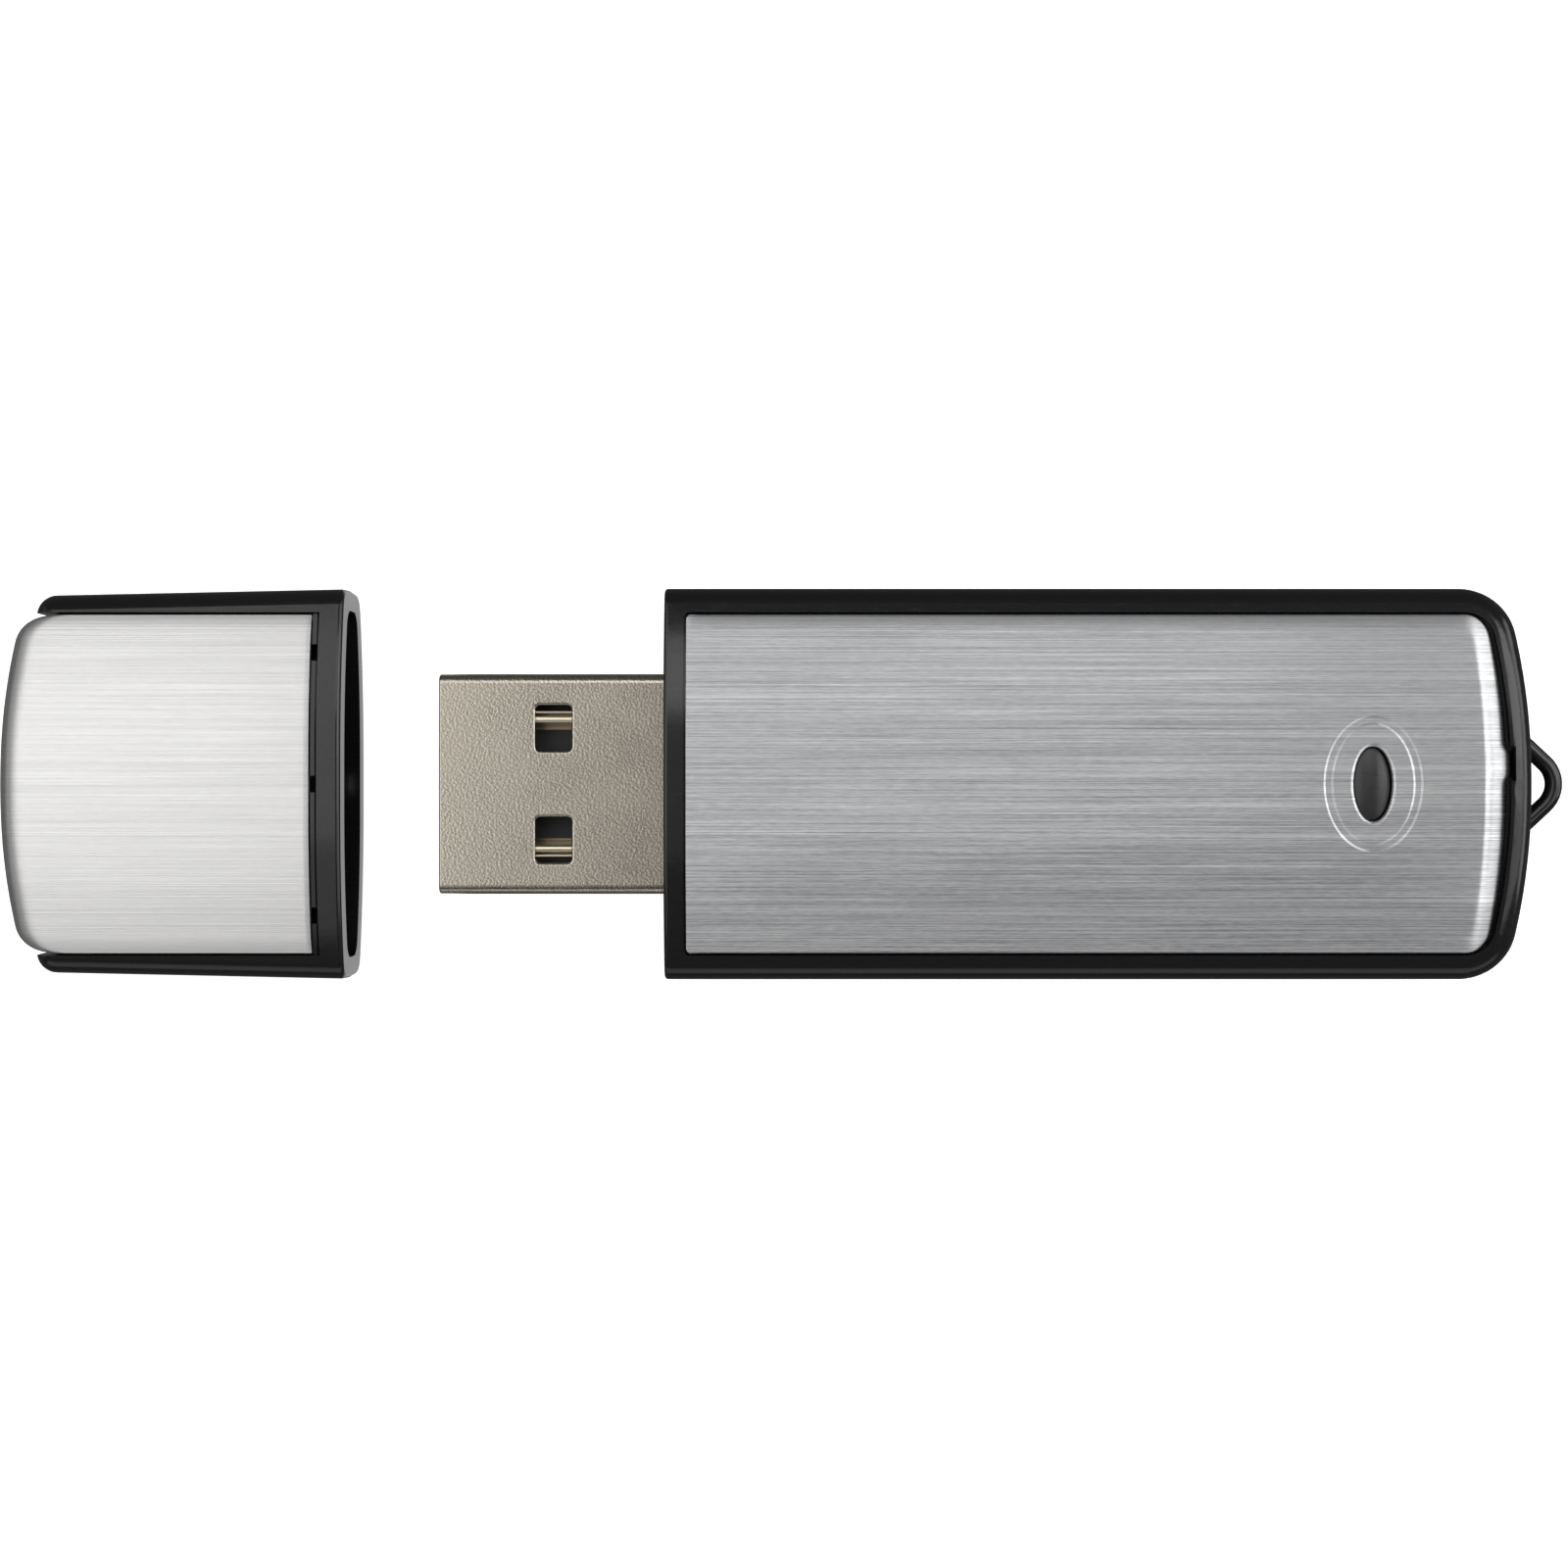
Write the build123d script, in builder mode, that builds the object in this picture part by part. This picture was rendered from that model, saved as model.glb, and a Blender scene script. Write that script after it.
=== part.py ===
from build123d import *
from math import cos, radians, sin, sqrt
import os

os.makedirs("parts", exist_ok=True)

# USB flash drive with a pull-off cap, millimetres.
# +X runs from the closed end of the cap to the lanyard eye, +Y across the width, +Z up
# through the face with the light window. The drive lies on its back at Z = 0, with the
# cap pulled off in line in front of the plug, and X = 0 is the middle of that layout.

# ---- driving dimensions ----
LAYOUT_LENGTH = 85.61          # closed end of the cap to the tip of the lanyard eye
THICK = 8.6                    # crown to crown, over the metal plates
WIDTH = 21.45                  # at the parting plane
BODY_LENGTH = 47.06            # shoulder to the middle of the tail edge
PLUG_EXPOSED = 12.3            # plug length in front of the shoulder
CAP_LENGTH = 18.58
CAP_SEAT_GAP = 0.05            # left between rim and shoulder when the cap is on
EYE_REACH = 2.6                # lanyard eye beyond the tail edge

# ---- outer form ----
MID_Z = THICK / 2
CROWN_FLAT = 1.5               # half width of the flat land along each crown
CROWN_R = 30.0                 # the crown falls away at this radius beside the land
FRAME_DROP = 0.15              # the black frame lies this far below the plate crown
END_R = 48.0                   # convex end edges, seen from above
DRAFT = 2.0                    # side walls lean in from the parting plane, degrees
FRAME_ROLL = 1.2               # rounding of rails and tail strip
TAIL_CORNER_R = 3.1
SHOULDER_EASE = 0.2

TAIL_X = LAYOUT_LENGTH / 2 - EYE_REACH
SHOULDER_X = TAIL_X - BODY_LENGTH
PLUG_TIP_X = SHOULDER_X - PLUG_EXPOSED
CAP_END_X = -LAYOUT_LENGTH / 2
RIM_X = CAP_END_X + CAP_LENGTH
CAP_TRAVEL = SHOULDER_X - RIM_X - CAP_SEAT_GAP

# ---- pressed plates on the body ----
PLATE_HALF = 9.17
PLATE_FRONT_X = SHOULDER_X + 1.2
PLATE_TAIL_X = TAIL_X - 1.6
PLATE_CORNER_R = 1.45
PLATE_FRONT_R = 0.2
SHEET = 0.4
PLATE_RIM_DEPTH = 0.8          # the bent rim reaches this far below the crown surface
PLATE_RIM_WIDTH = 0.6
PLATE_ROLL = 0.7
PLATE_FRONT_ROLL = 0.3
PLATE_GAP = 0.12               # clear line round a plate in its recess
TAPE = 0.1
PLATE_TAB_Y = 1.1
PLATE_TAB_WIDTH = 1.4
PLATE_TAB_REACH = 0.25
PLATE_TAB_TOP = 0.35
PLATE_TAB_DEPTH = 1.3
PLATE_POCKET = 1.2

# ---- light window ----
WINDOW_X = TAIL_X - 8.92
WINDOW_RADII = (1.02, 2.015)
WINDOW_BEVEL = 0.2
RING_OUTER = (2.685, 3.685)
RING_INNER = (2.15, 3.18)
RING_DEPTH = 0.12
LENS_FLANGE_RADII = (1.6, 2.6)
LENS_FLANGE = 0.5
LENS_CLEARANCE = 0.05
LENS_SUNK = 0.12
LENS_EDGE_R = 0.2
TAPE_INSET = 1.2

# ---- cavity and board ----
CAVITY_HALF = 8.0
CAVITY_CORNER_R = 1.5
CAVITY_FRONT_X = SHOULDER_X + 1.6
CAVITY_TAIL_X = TAIL_X - 1.9
CAVITY_BOTTOM_Z = 2.0
CAVITY_TOP_Z = THICK - CAVITY_BOTTOM_Z
BOARD_HALF = 7.7
BOARD_THICK = 0.8
BOARD_TOP_Z = 3.55
BOARD_FRONT_X = SHOULDER_X + 5.35
BOARD_TAIL_X = CAVITY_TAIL_X - 0.3
BOARD_EAR_X = CAVITY_FRONT_X + 0.3
BOARD_CORNER_R = 0.6
BOARD_NOTCH_LENGTH = 6.0       # the board's ears stand beside the plug's shell
BOARD_NOTCH_GAP = 0.15
PIN_R = 0.6
PIN_HEIGHT = 1.4
PIN_Y = 9.3
PIN_XS = (SHOULDER_X + 2.2, TAIL_X - 7.0)
PIN_CLEARANCE = 0.05

HOLD_DOWN_XS = (CAVITY_FRONT_X + 4.4, TAIL_X - 4.5)
HOLD_DOWN_LENGTH = 2.0
HOLD_DOWN_WIDTH = 0.8
BOARD_LEDGE = 0.9

# ---- on the board ----
CHIP_STANDOFF = 0.1
CHIP_Z = BOARD_TOP_Z + CHIP_STANDOFF
CHIP_CHAMFER = 0.1
MEMORY_X = SHOULDER_X + 27.2
MEMORY_SIZE = (18.4, 12.0, 1.0)
MEMORY_LEADS = 24
CONTROLLER_X = SHOULDER_X + 12.4
CONTROLLER_SIZE = (7.0, 7.0, 1.2)
CONTROLLER_LEADS = 12
CRYSTAL_Y = 6.2
CRYSTAL_SIZE = (3.2, 2.4, 0.8)
LED_SIZE = (1.6, 0.8, 0.6)
CAPACITOR_SIZE = (1.6, 0.8, 0.8)
RESISTOR_SIZE = (1.6, 0.8, 0.45)
SMALL_CHAMFER = 0.05
LEAD_PITCH = 0.5
LEAD_REACH = 0.8
LEAD_SHOULDER = 0.3
LEAD_THICK = 0.12
LEAD_WIDTH = 0.22
LEAD_ROOT_Z = BOARD_TOP_Z + 0.6
LENS_FOOT_Z = BOARD_TOP_Z + 0.9
BEAD_WIDTH = 0.4
BEAD_HEIGHT = 0.25
CAPACITOR_PLACES = [(CONTROLLER_X + dx, -6.6) for dx in (-3, -0.6, 1.8)]
CAPACITOR_PLACES += [(WINDOW_X + 3.4, y) for y in (-3.5, 0, 3.5)]
RESISTOR_PLACES = [(WINDOW_X + dx, side * 4.5) for dx in (0, 2.0) for side in (-1, 1)]

# ---- lanyard eye ----
EYE_BAR_R = 0.475
EYE_ARC_R = 1.6                # middle of the bar, round the hole
EYE_Z = MID_Z - 0.5
EYE_LEG_ANGLE = 47
EYE_LEG_LENGTH = 2.7
EYE_ARC_X = LAYOUT_LENGTH / 2 - EYE_BAR_R - EYE_ARC_R

# ---- plug ----
PLUG_WIDTH = 12.0
PLUG_HEIGHT = 4.5
PLUG_SHEET = 0.3
PLUG_EDGE_R = 0.5
PLUG_BORE_R = 0.2
LATCH_EASE = 0.15
TONGUE_CHAMFER = 0.4
PLUG_REAR_X = BOARD_FRONT_X - 0.2
PLUG_MOUTH_CLEARANCE = 0.05
LATCH_SIZE = (1.95, 2.5)
LATCH_X = PLUG_TIP_X + 6.25
LATCH_Y = 3.05
TAB_X = SHOULDER_X + 3.4
TAB_LENGTH = 2.0
TONGUE_HALF = 5.45
TONGUE_TOP_Z = 4.3
TONGUE_FRONT_X = PLUG_TIP_X + 0.5
THROAT_X = PLUG_TIP_X + 9.3
CONTACT_WIDTH = 1.0
CONTACT_THICK = 0.2
CONTACT_PROUD = 0.05
LATCH_CORNER_R = 0.25
PLUG_EASE = 0.12
TAB_REACH = 1.0
CONTACTS = {"contact_vbus": 3.5, "contact_data_minus": 1.0, "contact_data_plus": -1.0, "contact_ground": -3.5}
POWER_SETBACK = 0.6            # outer contacts start nearer the mouth than the data pair
DATA_SETBACK = 1.6
FOOT_LENGTH = 1.2

# ---- cap ----
CAP_RIM_HALF = 10.7
CAP_TAIL_HALF = 10.34
RAIL_END_X = CAP_END_X + 0.76
RAIL_CORNER_R = 1.2
RIM_EASE = 0.25
WRAP_HALF = 9.15
WRAP_SHEET = 0.45
WRAP_EDGE_X = RIM_X - 1.67
WRAP_CORNER_R = 1.7
WRAP_END_ROLL = 1.5
WRAP_SIDE_GAP = 0.15
LEDGE = 0.4                    # bare strip of the core beyond the edge of the wrap
LEDGE_INSET = 0.3              # the strip lies this far below the crown of the wrap
LEDGE_GROOVE = 0.12            # line between the strip and the rim of the cap
SLIT_X = CAP_END_X + 3.0       # the rails stand free of the core from here to the closed end
SOCKET_HALF = 9.53
SOCKET_WALL = 1.6
SOCKET_CORNER_R = 1.2
SOCKET_DEPTH = CAP_LENGTH - 4.25
WEB_Y = 6.15
WEB_THICK = 0.8
WEB_LENGTH = 10.0
CRUSH_RIB_Y = 3.0
CRUSH_RIB_WIDTH = 0.5
CRUSH_RIB_GAP = 0.12
RIB_BITE = 0.3                 # webs and ribs run this far into the wall of the socket
CRIMP_YS = (-7.1, 0.0, 7.1)
CRIMP_WIDTH = 0.8
CRIMP_REACH = 0.55
CRIMP_CLEARANCE = 0.05

FAR = 60.0                     # longer than the object, for cutting tools


# ---- shared construction ----
def section_plane(x):
    """Plane across the object at x: local x is +Y, local y is +Z, origin at the parting plane."""
    return Plane(origin=(x, 0, MID_Z), x_dir=(0, 1, 0), z_dir=(1, 0, 0))


def crown_drop(y):
    """How far the crowned surface lies below its land at the given distance from the middle."""
    return CROWN_R - sqrt(CROWN_R**2 - max(abs(y) - CROWN_FLAT, 0) ** 2)


def crowned_slab(inset, x_from, x_to, half_width):
    """Bar along X with crowned top and bottom faces, both moved inwards by inset."""
    radius = CROWN_R - inset
    height = THICK / 2 - inset
    drop = radius - sqrt(radius**2 - (half_width - CROWN_FLAT) ** 2)
    with BuildPart() as slab:
        with BuildSketch(section_plane(x_from)):
            with BuildLine():
                land = Line((0, height), (CROWN_FLAT, height))
                fall = TangentArc(land @ 1, (half_width, height - drop), tangent=(1, 0))
                Line(fall @ 1, (half_width, 0))
                mirror(about=Plane.YZ)
                mirror(about=Plane.XZ)
            make_face()
        extrude(amount=x_to - x_from)
    return slab.part


def end_sag(half_width, radius=END_R):
    return radius - sqrt(radius**2 - half_width**2)


def outline(square_x, end_x, half_width, end_half, corner_r, square_r=0.0, radius=END_R):
    """Plan outline with a square edge at square_x and a convex edge through end_x.
    half_width holds at the square edge and end_half at the convex one."""
    way = 1 if end_x > square_x else -1
    corner_x = end_x - way * end_sag(end_half, radius)
    with BuildSketch(Plane.XY.offset(MID_Z)) as plan:
        with BuildLine():
            near = (corner_x, -way * end_half)
            far = (corner_x, way * end_half)
            ThreePointArc(near, (end_x, 0), far)
            Polyline(far, (square_x, way * half_width), (square_x, -way * half_width), near)
        make_face()
        corners = plan.vertices().sort_by(Axis.X, reverse=way < 0)
        if square_r:
            fillet(corners[:2], radius=square_r)
        fillet(plan.vertices().sort_by(Axis.X, reverse=way < 0)[-2:], radius=corner_r)
    return plan.sketch


def is_top_or_bottom(edge, half_width, inner_x):
    """True for the long curved edges where a crowned face meets a side or end wall."""
    middle = edge.position_at(0.5)
    off_parting = abs(middle.Z - MID_Z) > THICK / 2 - 2.5
    outside = abs(middle.Y) > half_width - 1.5 or abs(middle.X) > abs(inner_x)
    level = abs(edge.position_at(0).Z - edge.position_at(1).Z) < 1.6
    return off_parting and outside and level


def contact_front(name):
    """The power and ground strips reach further forward, so that they meet first."""
    return TONGUE_FRONT_X + (DATA_SETBACK if "data" in name else POWER_SETBACK)


def finish(part, name):
    part.label = name
    export_step(part, f"parts/{name}.step")


# ---- body shells ----
with BuildPart() as hull:
    add(outline(SHOULDER_X - 3, TAIL_X, WIDTH / 2, WIDTH / 2, TAIL_CORNER_R))
    extrude(amount=THICK / 2, both=True, taper=DRAFT)
    add(crowned_slab(FRAME_DROP, SHOULDER_X, TAIL_X + 1, WIDTH / 2 + 1), mode=Mode.INTERSECT)
    roll = hull.edges().filter_by(lambda e: is_top_or_bottom(e, WIDTH / 2, TAIL_X - 1.5))
    roll = roll.filter_by(lambda e: abs(e.center().X - SHOULDER_X) > 0.01)
    fillet(roll, radius=FRAME_ROLL)


def plate_outline(grow=0.0):
    """Plan of a body plate, or of its recess when grown."""
    return outline(
        PLATE_FRONT_X - grow,
        PLATE_TAIL_X + grow,
        PLATE_HALF + grow,
        PLATE_HALF + grow,
        PLATE_CORNER_R + grow,
        max(PLATE_FRONT_R + grow, 0.1),
    )


def pan_core():
    """The block that fills a plate from inside, up to the tape."""
    with BuildPart() as core:
        add(plate_outline(-PLATE_RIM_WIDTH - PLATE_GAP))
        extrude(amount=THICK / 2, both=True)
        add(crowned_slab(SHEET + TAPE, PLATE_FRONT_X - 1, PLATE_TAIL_X + 1, WIDTH / 2), mode=Mode.INTERSECT)
    return core.part


with BuildPart() as plate_recess:
    add(plate_outline(PLATE_GAP))
    extrude(amount=THICK, both=True)
    add(
        crowned_slab(PLATE_RIM_DEPTH + 0.05, PLATE_FRONT_X - 1, PLATE_TAIL_X + 2, WIDTH / 2),
        mode=Mode.SUBTRACT,
    )
    add(pan_core(), mode=Mode.SUBTRACT)
    # A pocket at the tail takes the tab that holds each plate down.
    for z, down in ((THICK, Align.MAX), (0, Align.MIN)):
        with Locations((PLATE_TAIL_X + PLATE_TAB_REACH + PLATE_GAP, PLATE_TAB_Y, z)):
            Box(
                PLATE_POCKET,
                PLATE_TAB_WIDTH + 4 * PLATE_GAP,
                PLATE_TAB_DEPTH + PLATE_GAP,
                align=(Align.MAX, Align.CENTER, down),
            )

with BuildPart() as lens_seat:
    with BuildSketch(Plane.XY.offset(THICK)):
        with Locations((WINDOW_X, 0)):
            Ellipse(WINDOW_RADII[0], WINDOW_RADII[1])
    extrude(amount=-THICK / 2)
    with BuildSketch(Plane.XY.offset(THICK)):
        with Locations((WINDOW_X, 0)):
            Ellipse(LENS_FLANGE_RADII[0] + LENS_CLEARANCE, LENS_FLANGE_RADII[1] + LENS_CLEARANCE)
    extrude(amount=-(SHEET + TAPE + LENS_FLANGE))

with BuildPart() as cavity:
    with BuildSketch(Plane.XY.offset(CAVITY_BOTTOM_Z)):
        with Locations(((CAVITY_FRONT_X + CAVITY_TAIL_X) / 2, 0)):
            RectangleRounded(CAVITY_TAIL_X - CAVITY_FRONT_X, 2 * CAVITY_HALF, CAVITY_CORNER_R)
    extrude(amount=CAVITY_TOP_Z - CAVITY_BOTTOM_Z)

with BuildPart() as plug_mouth:
    with BuildSketch(section_plane(SHOULDER_X - 1)):
        RectangleRounded(
            PLUG_WIDTH + 2 * PLUG_MOUTH_CLEARANCE,
            PLUG_HEIGHT + 2 * PLUG_MOUTH_CLEARANCE,
            PLUG_EDGE_R + PLUG_MOUTH_CLEARANCE,
        )
    extrude(amount=CAVITY_FRONT_X - SHOULDER_X + 2)

with BuildPart() as housing:
    add(hull.part)
    shoulder = housing.faces().sort_by(Axis.X)[0]
    fillet(shoulder.edges(), radius=SHOULDER_EASE)
    add(plate_recess.part, mode=Mode.SUBTRACT)
    add(cavity.part, mode=Mode.SUBTRACT)
    add(plug_mouth.part, mode=Mode.SUBTRACT)


with BuildPart() as pins:
    with Locations(*[(x, y, MID_Z) for x in PIN_XS for y in (-PIN_Y, PIN_Y)]):
        Cylinder(PIN_R, PIN_HEIGHT, align=(Align.CENTER, Align.CENTER, Align.MIN))

with BuildPart() as pin_sockets:
    with Locations(*[(x, y, MID_Z) for x in PIN_XS for y in (-PIN_Y, PIN_Y)]):
        Cylinder(PIN_R + PIN_CLEARANCE, PIN_HEIGHT + 0.2, align=(Align.CENTER, Align.CENTER, Align.MIN))

with BuildPart() as lanyard_eye:
    with BuildLine() as eye_path:
        tip = CenterArc((EYE_ARC_X, 0, EYE_Z), EYE_ARC_R, -EYE_LEG_ANGLE, 2 * EYE_LEG_ANGLE)
        for end, side in ((0, -1), (1, 1)):
            start = tip @ end
            run = (-sin(radians(EYE_LEG_ANGLE)), side * cos(radians(EYE_LEG_ANGLE)), 0)
            Line(start, start + Vector(*run) * EYE_LEG_LENGTH)
    with BuildSketch(Plane(origin=eye_path.line @ 0, z_dir=eye_path.line % 0)):
        Circle(EYE_BAR_R)
    sweep()

with BuildPart() as upper_shell:
    add(housing.part)
    split(bisect_by=Plane.XY.offset(MID_Z), keep=Keep.TOP)
    add(lens_seat.part, mode=Mode.SUBTRACT)
    add(pin_sockets.part, mode=Mode.SUBTRACT)
    # Short posts in the four corners of the cavity hold the board down.
    for x in HOLD_DOWN_XS:
        for side in (-1, 1):
            with BuildSketch(Plane.XY.offset(BOARD_TOP_Z)):
                with Locations((x, side * (CAVITY_HALF - HOLD_DOWN_WIDTH / 2))):
                    Rectangle(HOLD_DOWN_LENGTH, HOLD_DOWN_WIDTH)
            extrude(amount=CAVITY_TOP_Z - BOARD_TOP_Z)

with BuildPart() as lower_shell:
    add(housing.part)
    split(bisect_by=Plane.XY.offset(MID_Z), keep=Keep.BOTTOM)
    add(pins.part)
    add(lanyard_eye.part)
    # Two ledges along the cavity carry the board.
    for side in (-1, 1):
        with BuildSketch(Plane.XY.offset(CAVITY_BOTTOM_Z)):
            with Locations(((CAVITY_FRONT_X + CAVITY_TAIL_X) / 2, side * (CAVITY_HALF - BOARD_LEDGE / 2))):
                Rectangle(CAVITY_TAIL_X - CAVITY_FRONT_X, BOARD_LEDGE)
        extrude(amount=BOARD_TOP_Z - BOARD_THICK - CAVITY_BOTTOM_Z)

finish(upper_shell.part, "upper_shell")
finish(lower_shell.part, "lower_shell")


# ---- pressed plates, their tape and the light window ----
def plate_hollow():
    """What is missing inside a plate: the room under its sheet and below its rim."""
    with BuildPart() as hollow:
        add(plate_outline(-PLATE_RIM_WIDTH))
        extrude(amount=THICK / 2)
        add(crowned_slab(SHEET, PLATE_FRONT_X - 1, PLATE_TAIL_X + 1, WIDTH / 2), mode=Mode.INTERSECT)
        add(crowned_slab(PLATE_RIM_DEPTH, PLATE_FRONT_X - 1, PLATE_TAIL_X + 2, WIDTH / 2))
    return hollow.part


def body_plate():
    """Plate over the upper shell: a crowned sheet with its rim rolled down all round."""
    with BuildPart() as plate:
        add(outline(PLATE_FRONT_X - 3, PLATE_TAIL_X, PLATE_HALF, PLATE_HALF, PLATE_CORNER_R))
        extrude(amount=THICK / 2)
        add(crowned_slab(0, PLATE_FRONT_X, PLATE_TAIL_X + 1, WIDTH / 2), mode=Mode.INTERSECT)
        fillet(
            plate.edges().filter_by(lambda e: is_top_or_bottom(e, PLATE_HALF, PLATE_TAIL_X - 1)),
            radius=PLATE_ROLL,
        )
        front = plate.faces().sort_by(Axis.X)[0]
        fillet(
            front.edges().filter_by(lambda e: e.center().Z > THICK - crown_drop(PLATE_HALF) - PLATE_ROLL),
            radius=PLATE_FRONT_ROLL,
        )
        add(plate_hollow(), mode=Mode.SUBTRACT)
        with Locations((PLATE_TAIL_X + PLATE_TAB_REACH, PLATE_TAB_Y, THICK - PLATE_TAB_DEPTH)):
            Box(
                PLATE_TAB_REACH + 0.3,
                PLATE_TAB_WIDTH,
                PLATE_TAB_DEPTH - PLATE_TAB_TOP,
                align=(Align.MAX, Align.CENTER, Align.MIN),
            )
    return plate.part


def tape_pad():
    """Adhesive between the pan core of the upper shell and its plate."""
    with BuildPart() as pad:
        add(plate_outline(-TAPE_INSET))
        extrude(amount=THICK / 2)
        add(crowned_slab(SHEET, PLATE_FRONT_X, PLATE_TAIL_X, WIDTH / 2), mode=Mode.INTERSECT)
        add(crowned_slab(SHEET + TAPE, PLATE_FRONT_X - 1, PLATE_TAIL_X + 1, WIDTH / 2), mode=Mode.SUBTRACT)
    return pad.part


def ellipse_sketch(radii, z):
    with BuildSketch(Plane.XY.offset(z)) as sketch:
        with Locations((WINDOW_X, 0)):
            Ellipse(*radii)
    return sketch.sketch


def is_window_rim(edge):
    """True for the upper edge of the light window in the front plate."""
    middle = edge.center()
    within = abs(middle.X - WINDOW_X) < RING_INNER[0] - 0.5 and abs(middle.Y) < RING_INNER[1] - 0.5
    return within and middle.Z > THICK - 0.1


# The ring engraved round the window follows the crown at an even depth.
with BuildPart() as ring:
    add(ellipse_sketch(RING_OUTER, THICK))
    extrude(amount=-1)
    add(ellipse_sketch(RING_INNER, THICK))
    extrude(amount=-1, mode=Mode.SUBTRACT)
    add(crowned_slab(RING_DEPTH, WINDOW_X - 4, WINDOW_X + 4, WIDTH / 2), mode=Mode.SUBTRACT)

with BuildPart() as front_plate:
    add(body_plate())
    add(ellipse_sketch(WINDOW_RADII, THICK))
    extrude(amount=-1.5, mode=Mode.SUBTRACT)
    window_rim = front_plate.edges().filter_by(is_window_rim)
    chamfer(window_rim, length=WINDOW_BEVEL)
    add(ring.part, mode=Mode.SUBTRACT)

with BuildPart() as back_plate:
    add(mirror(body_plate(), about=Plane.XY.offset(MID_Z), mode=Mode.PRIVATE))

with BuildPart() as front_plate_tape:
    add(tape_pad())
    add(ellipse_sketch((RING_OUTER[0], RING_OUTER[1]), THICK))
    extrude(amount=-1.5, mode=Mode.SUBTRACT)

with BuildPart() as back_plate_tape:
    add(mirror(tape_pad(), about=Plane.XY.offset(MID_Z), mode=Mode.PRIVATE))

with BuildPart() as led_lens:
    add(ellipse_sketch((WINDOW_RADII[0] - LENS_CLEARANCE, WINDOW_RADII[1] - LENS_CLEARANCE), LENS_FOOT_Z))
    extrude(amount=THICK - LENS_SUNK - LENS_FOOT_Z)
    fillet(led_lens.edges().group_by(Axis.Z)[-1], radius=LENS_EDGE_R)
    add(ellipse_sketch(LENS_FLANGE_RADII, THICK - SHEET - TAPE - LENS_FLANGE))
    extrude(amount=LENS_FLANGE)

for plate, name in (
    (front_plate, "front_plate"),
    (back_plate, "back_plate"),
    (front_plate_tape, "front_plate_tape"),
    (back_plate_tape, "back_plate_tape"),
    (led_lens, "led_lens"),
):
    finish(plate.part, name)


# ---- plug ----
with BuildPart() as plug_shell:
    with BuildSketch(section_plane(PLUG_TIP_X)):
        RectangleRounded(PLUG_WIDTH, PLUG_HEIGHT, PLUG_EDGE_R)
    extrude(amount=PLUG_REAR_X - PLUG_TIP_X)
    with BuildSketch(section_plane(PLUG_TIP_X)):
        RectangleRounded(PLUG_WIDTH - 2 * PLUG_SHEET, PLUG_HEIGHT - 2 * PLUG_SHEET, PLUG_BORE_R)
    extrude(amount=PLUG_REAR_X - PLUG_TIP_X, mode=Mode.SUBTRACT)
    # Latch windows on both wide faces.
    with BuildSketch(Plane.XY):
        with Locations((LATCH_X, -LATCH_Y), (LATCH_X, LATCH_Y)):
            RectangleRounded(*LATCH_SIZE, LATCH_CORNER_R)
    extrude(amount=THICK, mode=Mode.SUBTRACT)
    # The mouth and the latch windows are eased on the outside.
    outer_z = (MID_Z - PLUG_HEIGHT / 2, MID_Z + PLUG_HEIGHT / 2)
    eased = plug_shell.edges().filter_by(
        lambda e: abs(e.center().X - LATCH_X) < 1.5 and min(abs(e.center().Z - z) for z in outer_z) < 0.01
    )
    fillet(eased.filter_by(lambda e: e.length < 3), radius=LATCH_EASE)
    mouth = plug_shell.faces().sort_by(Axis.X)[0]
    fillet(mouth.outer_wire().edges(), radius=PLUG_EASE)
    # A soldering tab stands out from each side wall, over the ear of the board.
    for side in (-1, 1):
        with BuildSketch(Plane.XY.offset(BOARD_TOP_Z)):
            with Locations((TAB_X, side * (PLUG_WIDTH / 2 + TAB_REACH / 2 - PLUG_SHEET / 2))):
                Rectangle(TAB_LENGTH, TAB_REACH + PLUG_SHEET)
        extrude(amount=PLUG_SHEET)

with BuildPart() as plug_tongue:
    bottom_z = MID_Z - PLUG_HEIGHT / 2 + PLUG_SHEET
    with BuildSketch(Plane.XY.offset(bottom_z)):
        with Locations(((TONGUE_FRONT_X + PLUG_REAR_X) / 2, 0)):
            Rectangle(PLUG_REAR_X - TONGUE_FRONT_X, 2 * TONGUE_HALF)
    extrude(amount=TONGUE_TOP_Z - bottom_z)
    front_edges = plug_tongue.edges().filter_by(Axis.Y).sort_by(Axis.X)[0:2]
    chamfer(front_edges.sort_by(Axis.Z)[-1], length=TONGUE_CHAMFER)
    # Behind the throat the insulator fills the shell.
    with BuildSketch(Plane.XY.offset(bottom_z)):
        with Locations(((THROAT_X + PLUG_REAR_X) / 2, 0)):
            Rectangle(PLUG_REAR_X - THROAT_X, 2 * TONGUE_HALF)
    extrude(amount=PLUG_HEIGHT - 2 * PLUG_SHEET)
    # Each contact lies in a groove, stands a little proud and leaves at the rear.
    for name, y in CONTACTS.items():
        front_x = contact_front(name)
        with Locations((front_x, y, TONGUE_TOP_Z + CONTACT_PROUD)):
            Box(
                PLUG_REAR_X - front_x,
                CONTACT_WIDTH,
                CONTACT_THICK,
                align=(Align.MIN, Align.CENTER, Align.MAX),
                mode=Mode.SUBTRACT,
            )

finish(plug_shell.part, "plug_shell")
finish(plug_tongue.part, "plug_tongue")


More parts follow.
